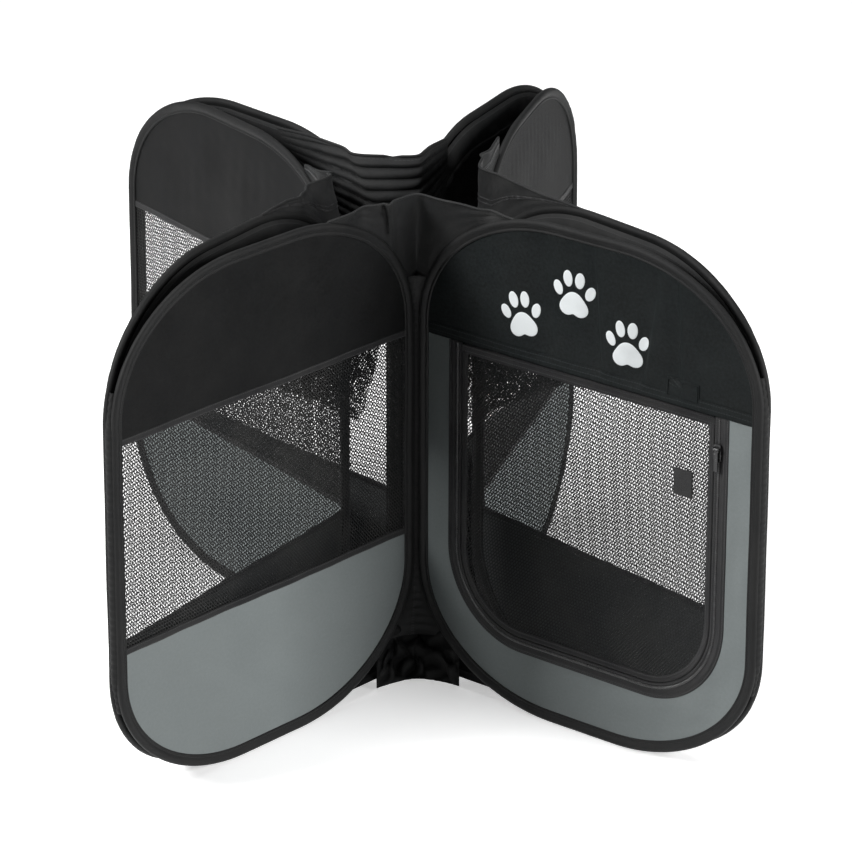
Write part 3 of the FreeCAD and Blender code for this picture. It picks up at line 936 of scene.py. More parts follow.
def zip_on_door():
    """The door's tape, and the piping that it folds on."""
    insets = (0, 0, 0.5, 1.6, 2.6, 3.6, 6, 7.2, 8, 8)
    outs = (-0.8, 0.7, 1.1, 1.7, 1.8, 1.2, 1, 0.9, 0.5, -0.8)
    parts = [zip_strip(ZIP_BOTH, insets, outs, DOOR_TOP - 0.007)]
    left, right = DOOR_INSET + ZIP_BOTH, PANEL - DOOR_INSET - ZIP_BOTH
    x = np.linspace(left, right, 90)
    a, piping = turns(14), 0.0016
    past = (np.abs(x - (left + right) / 2) - (right - left) / 2 + piping) / piping
    ends = np.minimum(1, np.sqrt(1 - past.clip(0, 1) ** 2) + 0.02)
    radius = (piping * (1 + 0.06 * np.sin(x * 1400)) * ends)[:, None]
    parts.append(patch(seat(spread(x[:, None], radius * np.cos(a), DOOR_TOP + radius * np.sin(a)), 1), around=True))
    flap = spread(x[:, None], 0.0, DOOR_TOP - 0.0005 - 0.009 * np.linspace(0, 1, 5))
    parts.append(slab(seat(flap, 1), 0.0018, spread(flap[..., 0], DOOR_TOP - flap[..., 2])))
    obj = make_piece("door_tape", parts, ["door_tape_cloth"])
    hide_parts("door_zip_tape")
    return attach(obj, "door")


def door_net():
    """The door's mesh: one layer inside the door's tape, with a soft belly."""
    inset = ZIP_BOTH + 0.0072
    left, right = DOOR_INSET + inset, PANEL - DOOR_INSET - inset
    foot, radius = DOOR_FOOT + inset, DOOR_CORNER - inset
    t = np.linspace(0, math.pi / 2, 26)
    z = np.concatenate([foot + radius * (1 - np.cos(t)), np.linspace(foot + radius, DOOR_TOP - 0.004, 22)[1:]])
    cut = np.concatenate([radius * (1 - np.sin(t)), np.zeros(21)])
    lo, hi = left + cut, right - cut
    q = np.linspace(0, 1, 50)[None, :]
    x = lo[:, None] + (hi - lo)[:, None] * q
    zz = z[:, None] + 0 * x
    r = (zz - z[0]) / (z[-1] - z[0])
    y = 0.003 * np.sin(math.pi * q) * np.sin(math.pi * r) * ripple(x, zz, 91, 4, 1.5, 5)
    net = patch(seat(spread(x, y, zz), 1), spread(x, zz))
    obj = make_piece("door_net", [net], ["door_mesh_cloth"], closed=False)
    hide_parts("door_mesh")
    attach(obj, "door")


def squared(a, wide, high, power):
    """A rounded square at angles a: its two places from its middle."""
    c, s = np.cos(a), np.sin(a)
    shape = (np.abs(c) ** power + np.abs(s) ** power) ** (-1 / power)
    return c * shape * wide / 2, s * shape * high / 2


def pillow(cx, cz, wide, high, thick, y0, power):
    """A low pad with a rounded-square outline: rings shrink to a small middle as the height rises to its crown, and
    the back is the same ring closed flat."""
    rings = 8
    ux, uz = squared(turns(48), wide, high, power)
    scale = np.concatenate([[1e-4, 1.0], [1.0], 1 - 0.05 * np.linspace(0.3, 1, 3), np.linspace(0.85, 1e-4, rings)])
    lift = np.concatenate([[0, 0], [thick * 0.5], thick * np.array([0.8, 0.94, 1.0]), np.full(rings, thick)])
    return spread(cx + ux * scale[:, None], y0 + lift[:, None], cz + uz * scale[:, None])


def patch_on_door():
    """The square of hook tape, stitched on the door."""
    p = pillow(*PATCH_AT, *PATCH_SIZE, 0.0018, 0.0004, power=40)
    obj = make_piece("hook_patch", [patch(seat(p, 1), around=True)], ["hook_pad"])
    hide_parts("door_patch")
    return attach(obj, "door")


# Each toe's place from the print's middle, its two half sizes and its lean, as shares of the print's size
TOES = (
    (-0.36, 0.1, 0.1, 0.15, 0.42),
    (-0.135, 0.33, 0.105, 0.165, 0.12),
    (0.135, 0.33, 0.105, 0.165, -0.12),
    (0.36, 0.1, 0.1, 0.15, -0.42),
)


def paw_parts(cx, cz, size, turn):
    """One print: a broad heel pad, a rounded triangle with a hollow foot, and four oval toes fanned over it."""
    ct, st = math.cos(turn), math.sin(turn)
    a = turns(60)
    pad = 0.265 * (1 + 0.10 * np.cos(3 * (a - math.pi / 2)) + 0.06 * np.cos(2 * a))
    pad = pad - 0.05 * np.exp(-(((a - 1.5 * math.pi) / 0.42) ** 2))
    shapes = [(0.0, -0.2, pad * np.cos(a) * 1.12, pad * np.sin(a))]
    for x, z, w, h, lean in TOES:
        ex, ez = w * np.cos(a), h * np.sin(a)
        shapes.append((x, z, ex * math.cos(lean) - ez * math.sin(lean), ex * math.sin(lean) + ez * math.cos(lean)))
    scale = np.array([1e-3, 1.0, 1.0, 0.97, 0.8, 0.5, 0.2, 1e-3])
    lift = np.array([0, 0, 0.7, 1.0, 1.0, 1.0, 1.0, 1.0]) * 0.00035
    parts = []
    for x0, z0, ux, uz in shapes:
        x = (x0 + ux[None] * scale[:, None]) * size * 1.04
        z = (z0 + uz[None] * scale[:, None]) * size
        parts.append(spread(cx + x * ct - z * st, lift[:, None], cz + x * st + z * ct))
    return parts


def upper_face(x, z):
    """How far the outside of the door panel's upper cloth stands out, for what is printed or sewn on it."""
    left, right = rim_sides(z, CLOTH_INSET)
    rows = cloth_rows(UPPER_EDGE + 0.0005, HEIGHT, CLOTH_INSET)
    q = (x - left) / (right - left)
    r = (z - rows[0]) / (rows[-1] - rows[0])
    return door_cloth_out(x, z, q, r) + 0.00055


def paw_prints():
    """Three white prints in a row on the door panel's upper cloth, moved out onto its surface."""
    parts = []
    for cx, cz, turn in ((0.340, 0.490, -0.22), (0.266, 0.531, 0.0), (0.190, 0.489, -0.05)):
        for grid in paw_parts(-cx, cz, 0.058, -turn):
            grid[..., 0] *= -1
            grid[..., 1] += upper_face(grid[..., 0], grid[..., 2])
            parts.append(tube(seat(grid, 1), grid[..., ::2]))
    obj = make_piece("paw_prints", parts, ["white_print"])
    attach(obj, "panel_1")


def hem_and_box():
    """The turned hem along the door panel's upper cloth, the facing behind the door's fold, and the small stitched box."""
    left, right = rim_sides(np.array([UPPER_EDGE + 0.006]), 0.0125)
    x = np.linspace(left[0], right[0], 160)[:, None]
    start = 0.003
    rows = np.linspace(start, 0.0145, 7)[None, :]
    z = UPPER_EDGE + rows + 0.0006 * np.sin(x * 31)
    hem = seat(spread(x, upper_face(x + 0 * z, z) + 0.0003, z), 1)
    parts = [slab(hem, THIN_CLOTH, spread(x, rows - start))]
    behind = np.linspace(-0.0045, 0.009, 5)[None, :]
    parts.append(slab(seat(spread(x, -0.0027, UPPER_EDGE + behind), 1), 0.0008, spread(x, behind)))
    cx, cz = 0.110, 0.4565
    box = pillow(cx, cz, 0.046, 0.023, THIN_CLOTH, 0.0, power=30)
    box[..., 1] += upper_face(box[..., 0], box[..., 2])
    parts.append(patch(seat(box, 1), around=True))
    a, b = turns(96)[:, None], turns(6)
    px, pz = squared(a, 0.042, 0.0195, 16)
    px, pz = cx + px, cz + pz
    beads = 0.00045 * (1 + 0.5 * np.sin(a * 60))
    out = upper_face(px, pz) + 0.0012 + beads * np.sin(b)
    line = spread(px + np.cos(a) * beads * np.cos(b), out, pz + np.sin(a) * beads * np.cos(b))
    parts.append(patch(seat(line, 1), along=True, around=True))
    obj = make_piece("door_panel_hem", parts, ["door_upper_cloth"])
    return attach(obj, "panel_1")


def roof_strip(panel):
    """The roof's woven border: it hangs inside the panel from its rim, follows the rounded top, and ends in the roof's
    zip and its two stitched lines. It keeps to its own half of the room between the arm's panels."""
    t = np.linspace(0.05, 0.93, 170)
    drop = np.array([0, 2, 5, 9, 14, 19, 24, 28, 30, 31.2, 32.4, 33.6, 35, 37, 40]) * 0.001
    raise_in = np.array([0.4, 1.8, 3, 3.8, 4.4, 4.6, 4.4, 4, 3.8, 5.4, 4.4, 5.4, 3.8, 3.6, 3.4]) * 0.001
    x, z = rim_walk(t, 0.009)
    tx, tz = np.gradient(x), np.gradient(z)
    scale = np.hypot(tx, tz)
    nx, nz = tz / scale, -tx / scale
    px = x[:, None] + nx[:, None] * drop[None]
    pz = z[:, None] + nz[:, None] * drop[None]
    fold = ripple(t[:, None] * 0.9, drop[None] * 2.2, 200 + panel, 6, 6, 26)
    half = across_arm(PANELS[panel][0])[3]
    room = np.maximum(0.0003, (math.sin(half) - 0.051) * px + 0.005 * (1 - px / LINK) - 0.0056)
    y = -0.0042 - np.minimum(raise_in[None] + 0.0022 * np.abs(fold) * (drop[None] / 0.04), room)
    p = seat(spread(px, y, pz), panel)
    uv = spread(run_length(p).mean(1, keepdims=True), drop)
    obj = make_piece("roof_strip_%d" % panel, [slab(p, THIN_CLOTH, uv)], ["roof_cloth"])
    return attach(obj, "panel_%d" % panel)


def across_arm(arm):
    """An arm's middle: its tip, its inward direction, its level sideways direction towards its first panel, and half
    the angle between its panels."""
    a, b = PAIRS[arm]
    mid = (FOLD[PANELS[a][1]] + FOLD[PANELS[b][1]]) / 2 - FOLD[arm]
    half = math.asin(np.linalg.norm(FOLD[PANELS[a][1]] - FOLD[PANELS[b][1]]) / 2 / LINK)
    inward = mid / np.linalg.norm(mid)
    side = np.array([-inward[1], inward[0]])
    if side @ (FOLD[PANELS[a][1]] - FOLD[arm]) < 0:
        side = -side
    return FOLD[arm], inward, side, half


def roof_net(arm):
    """The roof's mesh in one arm, as two layers: slung between the two borders, drawn down in a V that deepens
    inwards, with soft gathers along it."""
    a, b = PAIRS[arm]
    t = np.linspace(0.06, 0.985, 120)
    q = np.linspace(-1, 1, 61)
    xa, za = rim_walk(t, 0.046)
    side_a, side_b = (seat(spread(xa, NET_OUT, za), panel) for panel in (a, b))
    w = smooth((q + 1) / 2)[None, :, None]
    flat = side_b[:, None] * w + side_a[:, None] * (1 - w)
    crease = np.interp(xa, (0.0, 0.10, 0.2, 0.26, 0.312, 0.407, 0.47), (0.46, 0.5, 0.47, 0.44, 0.405, 0.35, 0.30))
    _, inward, side, _ = across_arm(arm)
    slack = (1 - q**2)[None, :]
    dip = (1 - np.abs(q) ** 1.3)[None, :]
    parts = []
    for layer, lift in ((0, 0.0), (1, 0.03)):
        seed = 300 + ARMS.index(arm) + 20 * layer
        p = flat.copy()
        sag = dip * np.maximum(za - crease - lift, 0.03)[:, None]
        gather = ripple(xa[:, None] + 0.4 * sag, q[None, :] * 0.05, seed, 7, 14, 60)
        lean = ripple(xa[:, None], q[None, :] * 0.1, seed + 9, 5, 5, 16)
        p[..., 2] -= sag + slack * 0.008 * lean
        p[..., :2] += (slack * (0.006 * gather + 0.005 * lean))[..., None] * inward
        p[..., :2] += (slack * 0.0028 * gather)[..., None] * side
        parts.append(patch(p))
    plain = flat.copy()
    plain[..., 2] -= dip * np.maximum(za - crease, 0.03)[:, None]
    obj = make_piece("roof_net_%s" % arm, parts, ["roof_mesh"], closed=False)
    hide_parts("cover_%s" % arm)
    blend_across(obj, arm, ARM_REACH)


def floor_in_arm(arm):
    """The floor in one arm: folded up in a low ridge between the panels' feet, with crumpled pleats."""
    tip, inward, side, half = across_arm(arm)
    reach = np.linspace(0.21, 0.452, 76)
    q = np.linspace(-1, 1, 45)
    room = reach * math.sin(half) + TIP_OFFSET * (1 - reach / LINK) - 0.0058
    seed = 400 + ARMS.index(arm)
    crumple = ripple(reach[:, None], q[None, :] * 0.06, seed, 8, 8, 40)
    rise = 0.014 + 0.03 * smooth((reach - 0.1) / 0.3)
    z = 0.006 + rise[:, None] * (1 - np.abs(q)[None, :]) ** 0.8
    z = z + 0.006 * np.abs(np.sin(q * 2.5 * math.pi))[None, :] + 0.0035 * crumple * (1 - q**2)[None, :]
    across = q[None, :] * room[:, None] * 0.98
    centre = tip + reach[:, None, None] * inward + across[..., None] * side
    p = np.concatenate([centre, np.maximum(z, 0.003)[..., None]], -1)
    obj = make_piece("floor_%s_cloth" % arm, [slab(p, 0.0012)], ["floor_cloth"])
    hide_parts("floor_%s" % arm)
    blend_across(obj, arm, ARM_REACH)


def valley_axes(line):
    """At a valley: out of the pen along the bisector, and level across from the first panel to the second."""
    a, b = PAIRS[line]
    to_a = FOLD[PANELS[a][0]] - FOLD[line]
    to_b = FOLD[PANELS[b][0]] - FOLD[line]
    out = to_a / np.linalg.norm(to_a) + to_b / np.linalg.norm(to_b)
    out = out / np.linalg.norm(out)
    across = to_b / np.linalg.norm(to_b) - to_a / np.linalg.norm(to_a)
    return out, across / np.linalg.norm(across)


def blend_across(obj, line, reach=0.0):
    """Works out a fold line's middle, or an arm's middle at a reach from its tip, and its direction across, which
    nothing uses, then bakes the piece's transform into its mesh; nothing bends it."""
    middle = FOLD[line]
    if line in ARMS:
        _, inward, side, _ = across_arm(line)
        middle, across = middle + inward * reach, -side
    else:
        across = valley_axes(line)[1]
    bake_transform(obj)


def seam_strip(line):
    """The sewn strip that joins two panels on a fold line: a shallow curve from one binding's edge, over the fold
    line, to the other's, puckered by its stitches."""
    a, b = PAIRS[line]
    tipwise = line in ARMS
    low, high = (0.115, 0.495) if tipwise else (0.06, 0.505)
    z = np.linspace(low, high, 150)
    edge = 0.0012 + 0.007 * smooth(1 - np.minimum(z - low, high - z) / 0.05)

    def end(panel):
        left, right = rim_sides(z, 0.0)
        x = left + edge if tipwise else right - edge
        return seat(spread(x, 0.0, z), panel)

    start, finish = end(a), end(b)
    swing = -across_arm(line)[1] * 0.0016 if tipwise else -valley_axes(line)[0] * 0.0015
    t = np.linspace(0, 1, 13)
    q = t[None, :, None]
    ease = np.minimum(1, np.minimum(z - low, high - z) / 0.05)[:, None]
    middle = np.concatenate([FOLD[line] + swing * ease, z[:, None]], 1)
    p = start[:, None] * (1 - q) ** 2 + 2 * middle[:, None] * (q * (1 - q)) + finish[:, None] * q**2
    pucker = 0.0007 * np.sin(z * TURN / 0.009)[:, None] * np.sin(math.pi * t)[None, :]
    p[..., :2] += pucker[..., None] * (swing / np.linalg.norm(swing))
    return p


def seam_strips():
    """All the sewn strips. The one on the back valley is two halves, because the ring is open there."""
    for line in ARMS + VALLEYS:
        p = seam_strip(line)
        obj = make_piece("seam_strip_%s" % line, [slab(p, CLOTH)], ["binding_cloth"])
        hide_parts("seam_%s" % line)
        blend_across(obj, line)
    p = seam_strip("b")
    for panel, part in ((4, p[:, :7]), (5, p[:, 6:])):
        obj = make_piece("seam_strip_b%d" % panel, [slab(part, CLOTH)], ["binding_cloth"])
        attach(obj, "panel_%d" % panel)


# Each valley's web: how far along its two panels its edge leaves their rims and how far it stands over them there,
# how far its middle stands out of the fold, how high its edge and its lowest point are, its seed, and its ridges as
# place, size and width
WEBS = {
    "f": dict(
        leave=(0.350, 0.345),
        rise=(0.002, 0.004),
        stand=0.020,
        top=0.609,
        vertex=0.500,
        seed=500,
        ridges=((0.64, 0.012, 0.016), (0.78, -0.012, 0.05), (0.14, -0.020, 0.06)),
    ),
    "r": dict(
        leave=(0.290, 0.384),
        rise=(0.002, 0.026),
        stand=0.002,
        top=0.610,
        vertex=0.500,
        seed=520,
        ridges=((0.45, 0.006, 0.06), (0.70, -0.008, 0.05)),
    ),
    "l": dict(
        leave=(0.310, 0.400),
        rise=(0.004, 0.010),
        stand=0.020,
        top=0.604,
        vertex=0.500,
        seed=540,
        ridges=((0.4, 0.010, 0.05), (0.65, -0.010, 0.05), (0.25, -0.008, 0.03)),
    ),
}
# How far a web's edge lies inside a panel's rim
WEB_INSET = 0.004


def from_vertex(line, k, edge, height):
    """Draws a web's edge together to a point on the fold line in its middle, where k is 0."""
    vertex = np.array([*FOLD[line], height])
    return vertex + (edge - vertex) * smooth(np.clip(k / 0.16, 0, 1))[:, None]


def on_both(line, q, x, z):
    """Points on a fold line's two panels: on its first for q under a half and on its second from there."""
    first, second = (seat(spread(x, -0.001, z), panel) for panel in PAIRS[line])
    return np.where((q < 0.5)[:, None], first, second)


def web(line):
    """The cloth over a valley: from the two rounded rims and the seam's top it rises to the roof's edge, which bridges
    the valley, and it is creased by a few ridges that run up from the seam."""
    say = WEBS[line]
    out = valley_axes(line)[0]
    q = np.linspace(0, 1, 97)
    r = np.linspace(0, 1, 40)[:, None, None]
    k = np.abs(q - 0.5) * 2
    zr = say["vertex"]
    leave = np.where(q < 0.5, *say["leave"])
    wide, tall = CORNER_LONG - WEB_INSET, CORNER_HIGH - WEB_INSET
    xs = (PANEL - WEB_INSET) - (PANEL - WEB_INSET - leave) * smooth(k) ** 0.9
    past = np.clip((xs - (PANEL - CORNER_LONG)) / wide, 0, 0.9999)
    z_rim = HEIGHT - CORNER_HIGH + tall * np.sqrt(1 - past**2)
    x_vertex = PANEL - CORNER_LONG + wide * math.sqrt(1 - ((zr - HEIGHT + CORNER_HIGH) / tall) ** 2)
    low = on_both(line, q, np.where(z_rim < zr, x_vertex, xs), np.maximum(z_rim, zr))
    low = from_vertex(line, k, low, zr)
    end_a, end_b = low[0] + [0, 0, say["rise"][0]], low[-1] + [0, 0, say["rise"][1]]
    middle = np.array([*(FOLD[line] + out * say["stand"]), say["top"]])
    w = q[:, None]
    t1 = np.clip(w * 2, 0, 1) ** 1.15
    t2 = np.clip(w * 2 - 1, 0, 1) ** 0.9
    top = np.where(w < 0.5, end_a * (1 - t1) + middle * t1, middle * (1 - t2) + end_b * t2)
    for _ in range(12):
        top[1:-1] = (top[:-2] + 2 * top[1:-1] + top[2:]) / 4
    p = low[None] * (1 - r) + top[None] * r
    belly = np.sin(math.pi * q)[None, :] ** 0.5 * (r[:, :, 0] ** 0.7)
    push = sum(size * np.exp(-((q[None, :] - at) / wide) ** 2) for at, size, wide in say["ridges"])
    push = push + 0.0009 * ripple(q[None, :] * 0.16, r[:, :, 0] * 0.08, say["seed"], 7, 14, 60)
    p[..., :2] += (push * belly)[..., None] * out
    p[..., 2] += 0.0015 * belly * ripple(q[None, :] * 0.16, 0 * r[:, :, 0], say["seed"] + 1, 4, 10, 30)
    return p


def top_webs():
    """The cloth over three valleys, with a rolled edge; two of them also carry the roof's zip as two beaded lines."""
    for line in VALLEYS:
        p = web(line)
        beaded = () if line == "f" else (-13, -15)
        parts = [slab(p, CLOTH), patch(roll_on(p[-1], 0.0016), around=True)]
        parts += [patch(roll_on(p[row], 0.0011), around=True) for row in beaded]
        pick = [0, 0] + [1 for _ in beaded]
        obj = make_piece("top_web_%s" % line, parts, ["roof_cloth", "zip_coil"], pick=pick)
        blend_across(obj, line)


def roll_on(line, radius):
    """A thin rolled hem: a circle carried along a line, closed to a point at its ends."""
    along = np.gradient(line, axis=0)
    along /= np.linalg.norm(along, axis=1, keepdims=True)
    side = np.cross(along, [0, 0, 1.0])
    side /= np.linalg.norm(side, axis=1, keepdims=True)
    up = np.cross(side, along)
    a = turns(10)[None, :, None]
    i = np.arange(len(line))
    r = radius * np.minimum(1, np.minimum(i, i[::-1]) / 2.0 + 0.02)
    return line[:, None] + r[:, None, None] * (side[:, None] * np.cos(a) + up[:, None] * np.sin(a))


# The gathers' two edges, as a panel and a place in its own frame
GATHER_TOP = (
    (5, 0.285, -0.008, 0.600),
    (5, 0.345, -0.006, 0.604),
    (5, 0.400, 0.002, 0.600),
    (5, 0.411, 0.002, 0.594),
    (4, 0.440, 0.002, 0.596),
    (4, 0.420, -0.004, 0.604),
    (4, 0.380, -0.009, 0.604),
)
GATHER_FOOT = (
    (5, 0.330, -0.0085, 0.545),
    (5, 0.400, -0.011, 0.528),
    (5, 0.460, -0.012, 0.515),
    (5, 0.494, -0.004, 0.508),
    (4, 0.470, -0.012, 0.512),
    (4, 0.430, -0.014, 0.522),
    (4, 0.390, -0.012, 0.540),
)


def gathers():
    """The roof's slack over the back valley: a band slung from one panel's rim to the other's, drawn into eight level
    folds. The ring is open there, so each panel has its half."""
    edges = (np.stack([seat(np.array(row[1:]), row[0]) for row in rows]) for rows in (GATHER_TOP, GATHER_FOOT))
    at = np.array([0, 0.2, 0.42, 0.5, 0.62, 0.78, 1.0])
    s = np.linspace(0, 1, 121)
    top, foot = (np.stack([np.interp(s, at, edge[:, k]) for k in range(3)], -1) for edge in edges)
    for edge in (top, foot):
        for _ in range(14):
            edge[1:-1] = (edge[:-2] + 2 * edge[1:-1] + edge[2:]) / 4
    v = np.linspace(0, 1, 110)
    p = top[:, None] * (1 - v)[None, :, None] + foot[:, None] * v[None, :, None]
    out, across = valley_axes("b")
    wander = 0.5 * ripple(s[:, None] * 0.25, v[None, :] * 0.05, 610, 4, 2, 6)
    fold = np.abs(np.sin(math.pi * (v[None, :] * 8 + 0.6 * wander + 0.8 * np.sin(2.2 * s)[:, None]))) ** 0.7
    size = 0.0035 + 0.004 * np.clip(0.5 + ripple(s[:, None] * 0.2, v[None, :] * 0.1, 615, 3, 2, 8), 0, 1)
    fine = 0.0006 * ripple(s[:, None] * 0.25, v[None, :] * 0.1, 616, 6, 20, 80)
    ease = np.clip(v * 12, 0, 1)[None, :] * smooth(np.minimum(s, 1 - s) / 0.3 + 0.15)[:, None]
    p[..., :2] += ((fold * size + fine) * ease)[..., None] * -out
    p[..., 2] -= (0.010 * np.sin(math.pi * s)[:, None] * v[None, :])
    beyond = (p[:, :, :2] - FOLD["b"]) @ across
    cut = int(np.argmin(np.abs(beyond[:, 0])))
    first = beyond[0, 0] < 0
    for panel, part in (((4 if first else 5), p[: cut + 1]), ((5 if first else 4), p[cut:])):
        edge = roll_on(part[:, 0], 0.0018)
        obj = make_piece("roof_gather_%d" % panel, [slab(part, 0.0008), patch(edge, around=True)], ["roof_cloth"])
        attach(obj, "panel_%d" % panel)


def foot_webs():
    """The floor's corners at the valleys: crumpled cloth on the ground between the panels' rounded feet."""
    for line, seed in (("f", 700), ("r", 710), ("l", 720), ("b", 730)):
        out, across = valley_axes(line)
        q = np.linspace(0, 1, 81)
        v = np.linspace(0, 1, 40)
        k = np.abs(q - 0.5) * 2
        x_low = (PANEL - 0.012) - (PANEL - 0.012 - 0.43) * smooth(k)
        past = np.clip((x_low - (PANEL - CORNER_LONG)) / (CORNER_LONG - WEB_INSET), 0, 0.9999)
        z_rim = CORNER_HIGH - (CORNER_HIGH - 0.006) * np.sqrt(1 - past**2)
        reach_up = 0.075
        high = from_vertex(line, k, on_both(line, q, x_low, np.minimum(z_rim, reach_up)), reach_up)
        end_a, end_b = high[0], high[-1]
        middle = np.array([*(FOLD[line] + out * 0.022), 0.004])
        bend = k[:, None] ** 1.6
        chord = end_a + (end_b - end_a) * q[:, None]
        mid_line = middle + (end_b - end_a) * (q[:, None] - 0.5)
        low = mid_line * (1 - bend) + chord * bend
        low[:, 2] = 0.003
        r = v[:, None, None]
        p = high[None] * (1 - r) + low[None] * r
        belly = np.sin(math.pi * q)[None, :] ** 0.6 * np.sin(math.pi * v)[:, None] ** 0.5
        at = (q[None, :] * 0.2, v[:, None] * 0.08)
        crease, drift = ripple(*at, seed, 8, 12, 45), ripple(*at, seed + 2, 6, 12, 40)
        sharp = np.abs(crease) ** 0.7 * np.sign(crease)
        p[..., :2] += (belly * 0.008 * sharp)[..., None] * out + (belly * 0.005 * drift)[..., None] * across
        p[..., 2] = np.maximum(p[..., 2] + belly * 0.006 * sharp, 0.0025)
        if line == "b":
            half = p.shape[1] // 2
            for panel, part in ((4, p[:, :half + 1]), (5, p[:, half:])):
                obj = make_piece("foot_web_b%d" % panel, [slab(part, CLOTH)], ["floor_cloth"])
                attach(obj, "panel_%d" % panel)
        else:
            obj = make_piece("foot_web_%s" % line, [slab(p, CLOTH)], ["floor_cloth"])
            blend_across(obj, line)


# ---------------------------------------------------------------- stage


def camera(view):
    """The camera: a long lens in front, a little above, with a small roll."""
    data = bpy.data.cameras.new("camera")
    data.lens, data.sensor_width = view.lens, 36.0
    data.clip_start, data.clip_end = 0.1, 100
    obj = bpy.data.objects.new("camera", data)
    bpy.context.scene.collection.objects.link(obj)
    pitch, yaw, roll = view.pitch, view.yaw, view.roll
    f = Vector((math.cos(pitch) * math.sin(yaw), math.cos(pitch) * math.cos(yaw), -math.sin(pitch)))
    r = f.cross(Vector((0, 0, 1))).normalized()
    u = r.cross(f)
    r2, u2 = r * math.cos(roll) + u * math.sin(roll), u * math.cos(roll) - r * math.sin(roll)
    turn = Matrix((r2, u2, -f)).transposed()
    obj.matrix_world = Matrix.Translation(view.place) @ turn.to_4x4()
    bpy.context.scene.camera = obj


def area_light(name, place, size, power):
    """One soft square light that faces the pen's middle."""
    data = bpy.data.lights.new(name, "AREA")
    data.shape, data.size, data.energy = "SQUARE", size, power
    obj = bpy.data.objects.new(name, data)
    bpy.context.scene.collection.objects.link(obj)
    obj.location = place
    obj.rotation_mode = "QUATERNION"
    obj.rotation_quaternion = (Vector((0, 0, 0.3)) - Vector(place)).to_track_quat("-Z", "Y")


def stage(light):
    """A plain pale floor, an even pale world and soft lights."""
    s = np.linspace(-14, 14, 24)
    ground = patch(spread(s[:, None], s[None], -0.0003), flip=True)
    obj = make_piece("floor_plane", [ground], ["studio_floor"], closed=False)
    obj.visible_diffuse = False
    world = bpy.data.worlds.new("studio")
    bpy.context.scene.world = world
    world.use_nodes = True
    even = world.node_tree.nodes["Background"].inputs
    even["Color"].default_value, even["Strength"].default_value = (1, 1, 1, 1), light.world
    area_light("key", (-3.9, -1.6, 3.1), 1.6, light.key)
    area_light("fill", (4.0, -2.3, 2.0), 1.8, light.fill)
    area_light("top", (-0.6, 0.5, 3.4), 2.4, light.top)
    bpy.context.scene.view_settings.view_transform = "Standard"


# ---------------------------------------------------------------- add-on


class PlaypenLook(bpy.types.PropertyGroup):
    """Colours and mesh of the playpen."""

    black: FloatVectorProperty(name="Black cloth", description="Colour of the black woven cloth", subtype="COLOR", size=3, default=(0.0062, 0.0064, 0.0066), min=0, max=1)
    grey: FloatVectorProperty(name="Grey cloth", description="Colour of the grey woven cloth", subtype="COLOR", size=3, default=(0.215, 0.24, 0.24), min=0, max=1)
    hole: FloatProperty(name="Mesh hole", description="Radius of a hole in the window mesh", default=0.00114, unit="LENGTH", min=0.0002, max=0.002)


class PlaypenView(bpy.types.PropertyGroup):
    """Where the camera stands."""

    place: FloatVectorProperty(name="Place", description="Camera position", subtype="TRANSLATION", size=3, default=(-0.00546, -4.9827, 2.2170))
    pitch: FloatProperty(name="Pitch", description="Angle below the horizon", default=math.radians(21.22), subtype="ANGLE")
    yaw: FloatProperty(name="Yaw", description="Turn towards the right", default=math.radians(0.0424), subtype="ANGLE")
    roll: FloatProperty(name="Roll", description="Turn about the line of sight", default=math.radians(0.1936), subtype="ANGLE")
    lens: FloatProperty(name="Lens", description="Focal length on a 36 mm sensor, in millimetres", default=190.15, min=10, max=400)


class PlaypenLight(bpy.types.PropertyGroup):
    """How bright each light is."""

    world: FloatProperty(name="World", description="Strength of the even surroundings", default=0.06, min=0)
    key: FloatProperty(name="Key", description="Light on the left", default=285.0, min=0, unit="POWER")
    fill: FloatProperty(name="Fill", description="Light at the front right", default=225.0, min=0, unit="POWER")
    top: FloatProperty(name="Top", description="Overhead light", default=60.0, min=0, unit="POWER")


class PLAYPEN_OT_camera(bpy.types.Operator):
    """Place the camera"""

    bl_idname = "playpen.camera"
    bl_label = "Camera"

    def execute(self, context):
        camera(context.scene.playpen_view)
        return {"FINISHED"}


class PLAYPEN_OT_finishes(bpy.types.Operator):
    """Make every finish and dress the frame's parts in it"""

    bl_idname = "playpen.finishes"
    bl_label = "Finishes"

    def execute(self, context):
        build_materials(context.scene.playpen_look)
        dress_cad_nodes()
        return {"FINISHED"}


class PLAYPEN_OT_bindings(bpy.types.Operator):
    """Sew the eight binding sleeves"""

    bl_idname = "playpen.bindings"
    bl_label = "Bindings"

    def execute(self, context):
        for panel in PANELS:
            binding(panel)
        return {"FINISHED"}


class PLAYPEN_OT_cloths(bpy.types.Operator):
    """Stretch the upper and lower cloths, the windows and their seam tapes"""

    bl_idname = "playpen.cloths"
    bl_label = "Panel cloths and windows"

    def execute(self, context):
        for panel in PANELS:
            panel_cloth(panel, "upper")
            if panel != 1:
                panel_cloth(panel, "lower")
                window(panel)
                seam_tapes(panel)
        return {"FINISHED"}


class PLAYPEN_OT_door(bpy.types.Operator):
    """Make the door panel: surround, zip, door and its prints"""

    bl_idname = "playpen.door"
    bl_label = "Door panel"

    def execute(self, context):
        door_surround()
        zip_on_frame()
        zip_on_door()
        door_net()
        patch_on_door()
        paw_prints()
        hem_and_box()
        return {"FINISHED"}


class PLAYPEN_OT_roof(bpy.types.Operator):
    """Hang the roof's borders, mesh, webs and gathers"""

    bl_idname = "playpen.roof"
    bl_label = "Roof"

    def execute(self, context):
        for panel in PANELS:
            roof_strip(panel)
        for arm in ARMS:
            roof_net(arm)
        top_webs()
        gathers()
        return {"FINISHED"}


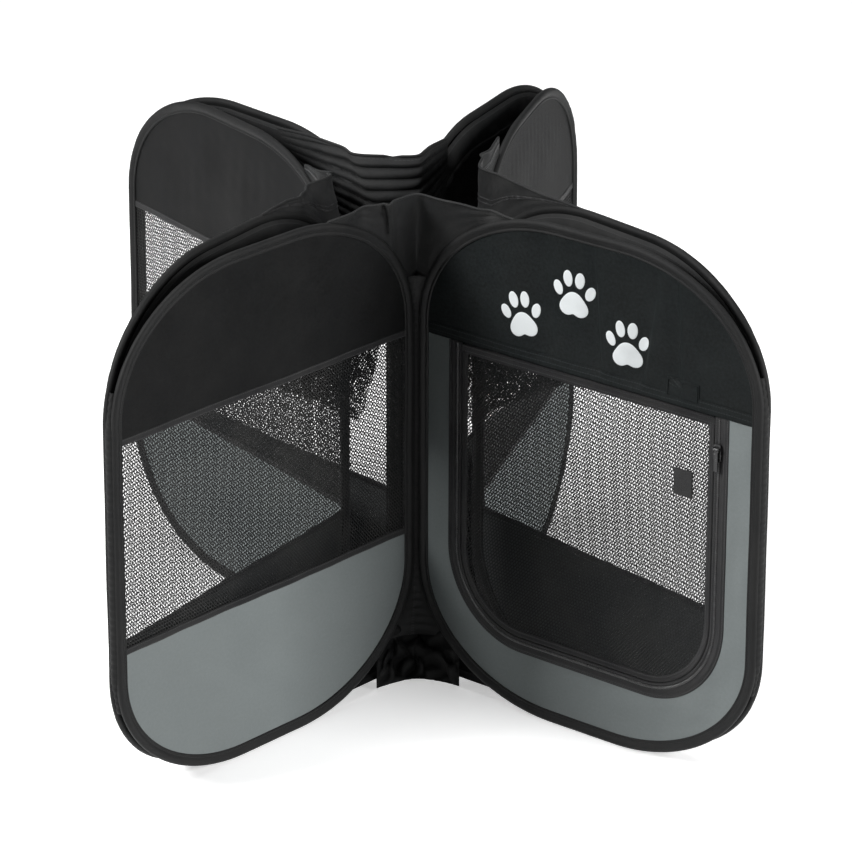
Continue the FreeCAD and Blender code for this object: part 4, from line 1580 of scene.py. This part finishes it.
class PLAYPEN_OT_seams(bpy.types.Operator):
    """Join the panels with their sewn strips"""

    bl_idname = "playpen.seams"
    bl_label = "Seams"

    def execute(self, context):
        seam_strips()
        return {"FINISHED"}


class PLAYPEN_OT_floor(bpy.types.Operator):
    """Fold the floor in each arm and valley"""

    bl_idname = "playpen.floor"
    bl_label = "Floor"

    def execute(self, context):
        for arm in ARMS:
            floor_in_arm(arm)
        foot_webs()
        return {"FINISHED"}


class PLAYPEN_OT_stage(bpy.types.Operator):
    """Make the floor under it and the lights"""

    bl_idname = "playpen.stage"
    bl_label = "Stage"

    def execute(self, context):
        stage(context.scene.playpen_light)
        return {"FINISHED"}


class PLAYPEN_PT_panel(bpy.types.Panel):
    """The playpen's pieces and sizes."""

    bl_label = "Playpen"
    bl_idname = "PLAYPEN_PT_panel"
    bl_space_type = "VIEW_3D"
    bl_region_type = "UI"
    bl_category = "Playpen"

    def draw(self, context):
        layout = self.layout
        for step in STEPS:
            layout.operator(step.bl_idname)
        for holder in (context.scene.playpen_look, context.scene.playpen_view, context.scene.playpen_light):
            for name in holder.bl_rna.properties.keys():
                if name not in ("rna_type", "name"):
                    layout.prop(holder, name)


STEPS = (
    PLAYPEN_OT_camera,
    PLAYPEN_OT_finishes,
    PLAYPEN_OT_bindings,
    PLAYPEN_OT_cloths,
    PLAYPEN_OT_door,
    PLAYPEN_OT_seams,
    PLAYPEN_OT_roof,
    PLAYPEN_OT_floor,
    PLAYPEN_OT_stage,
)
CLASSES = (PlaypenLook, PlaypenView, PlaypenLight, *STEPS, PLAYPEN_PT_panel)


def register():
    """Registers the classes and the sizes kept with the scene."""
    for c in CLASSES:
        bpy.utils.register_class(c)
    bpy.types.Scene.playpen_look = PointerProperty(type=PlaypenLook)
    bpy.types.Scene.playpen_view = PointerProperty(type=PlaypenView)
    bpy.types.Scene.playpen_light = PointerProperty(type=PlaypenLight)


def unregister():
    """Removes what register added."""
    for name in ("playpen_look", "playpen_view", "playpen_light"):
        delattr(bpy.types.Scene, name)
    for c in reversed(CLASSES):
        bpy.utils.unregister_class(c)


def main():
    """Makes every piece in order."""
    register()
    for step in STEPS:
        space, name = step.bl_idname.split(".")
        getattr(getattr(bpy.ops, space), name)()


if __name__ == "__main__":
    main()
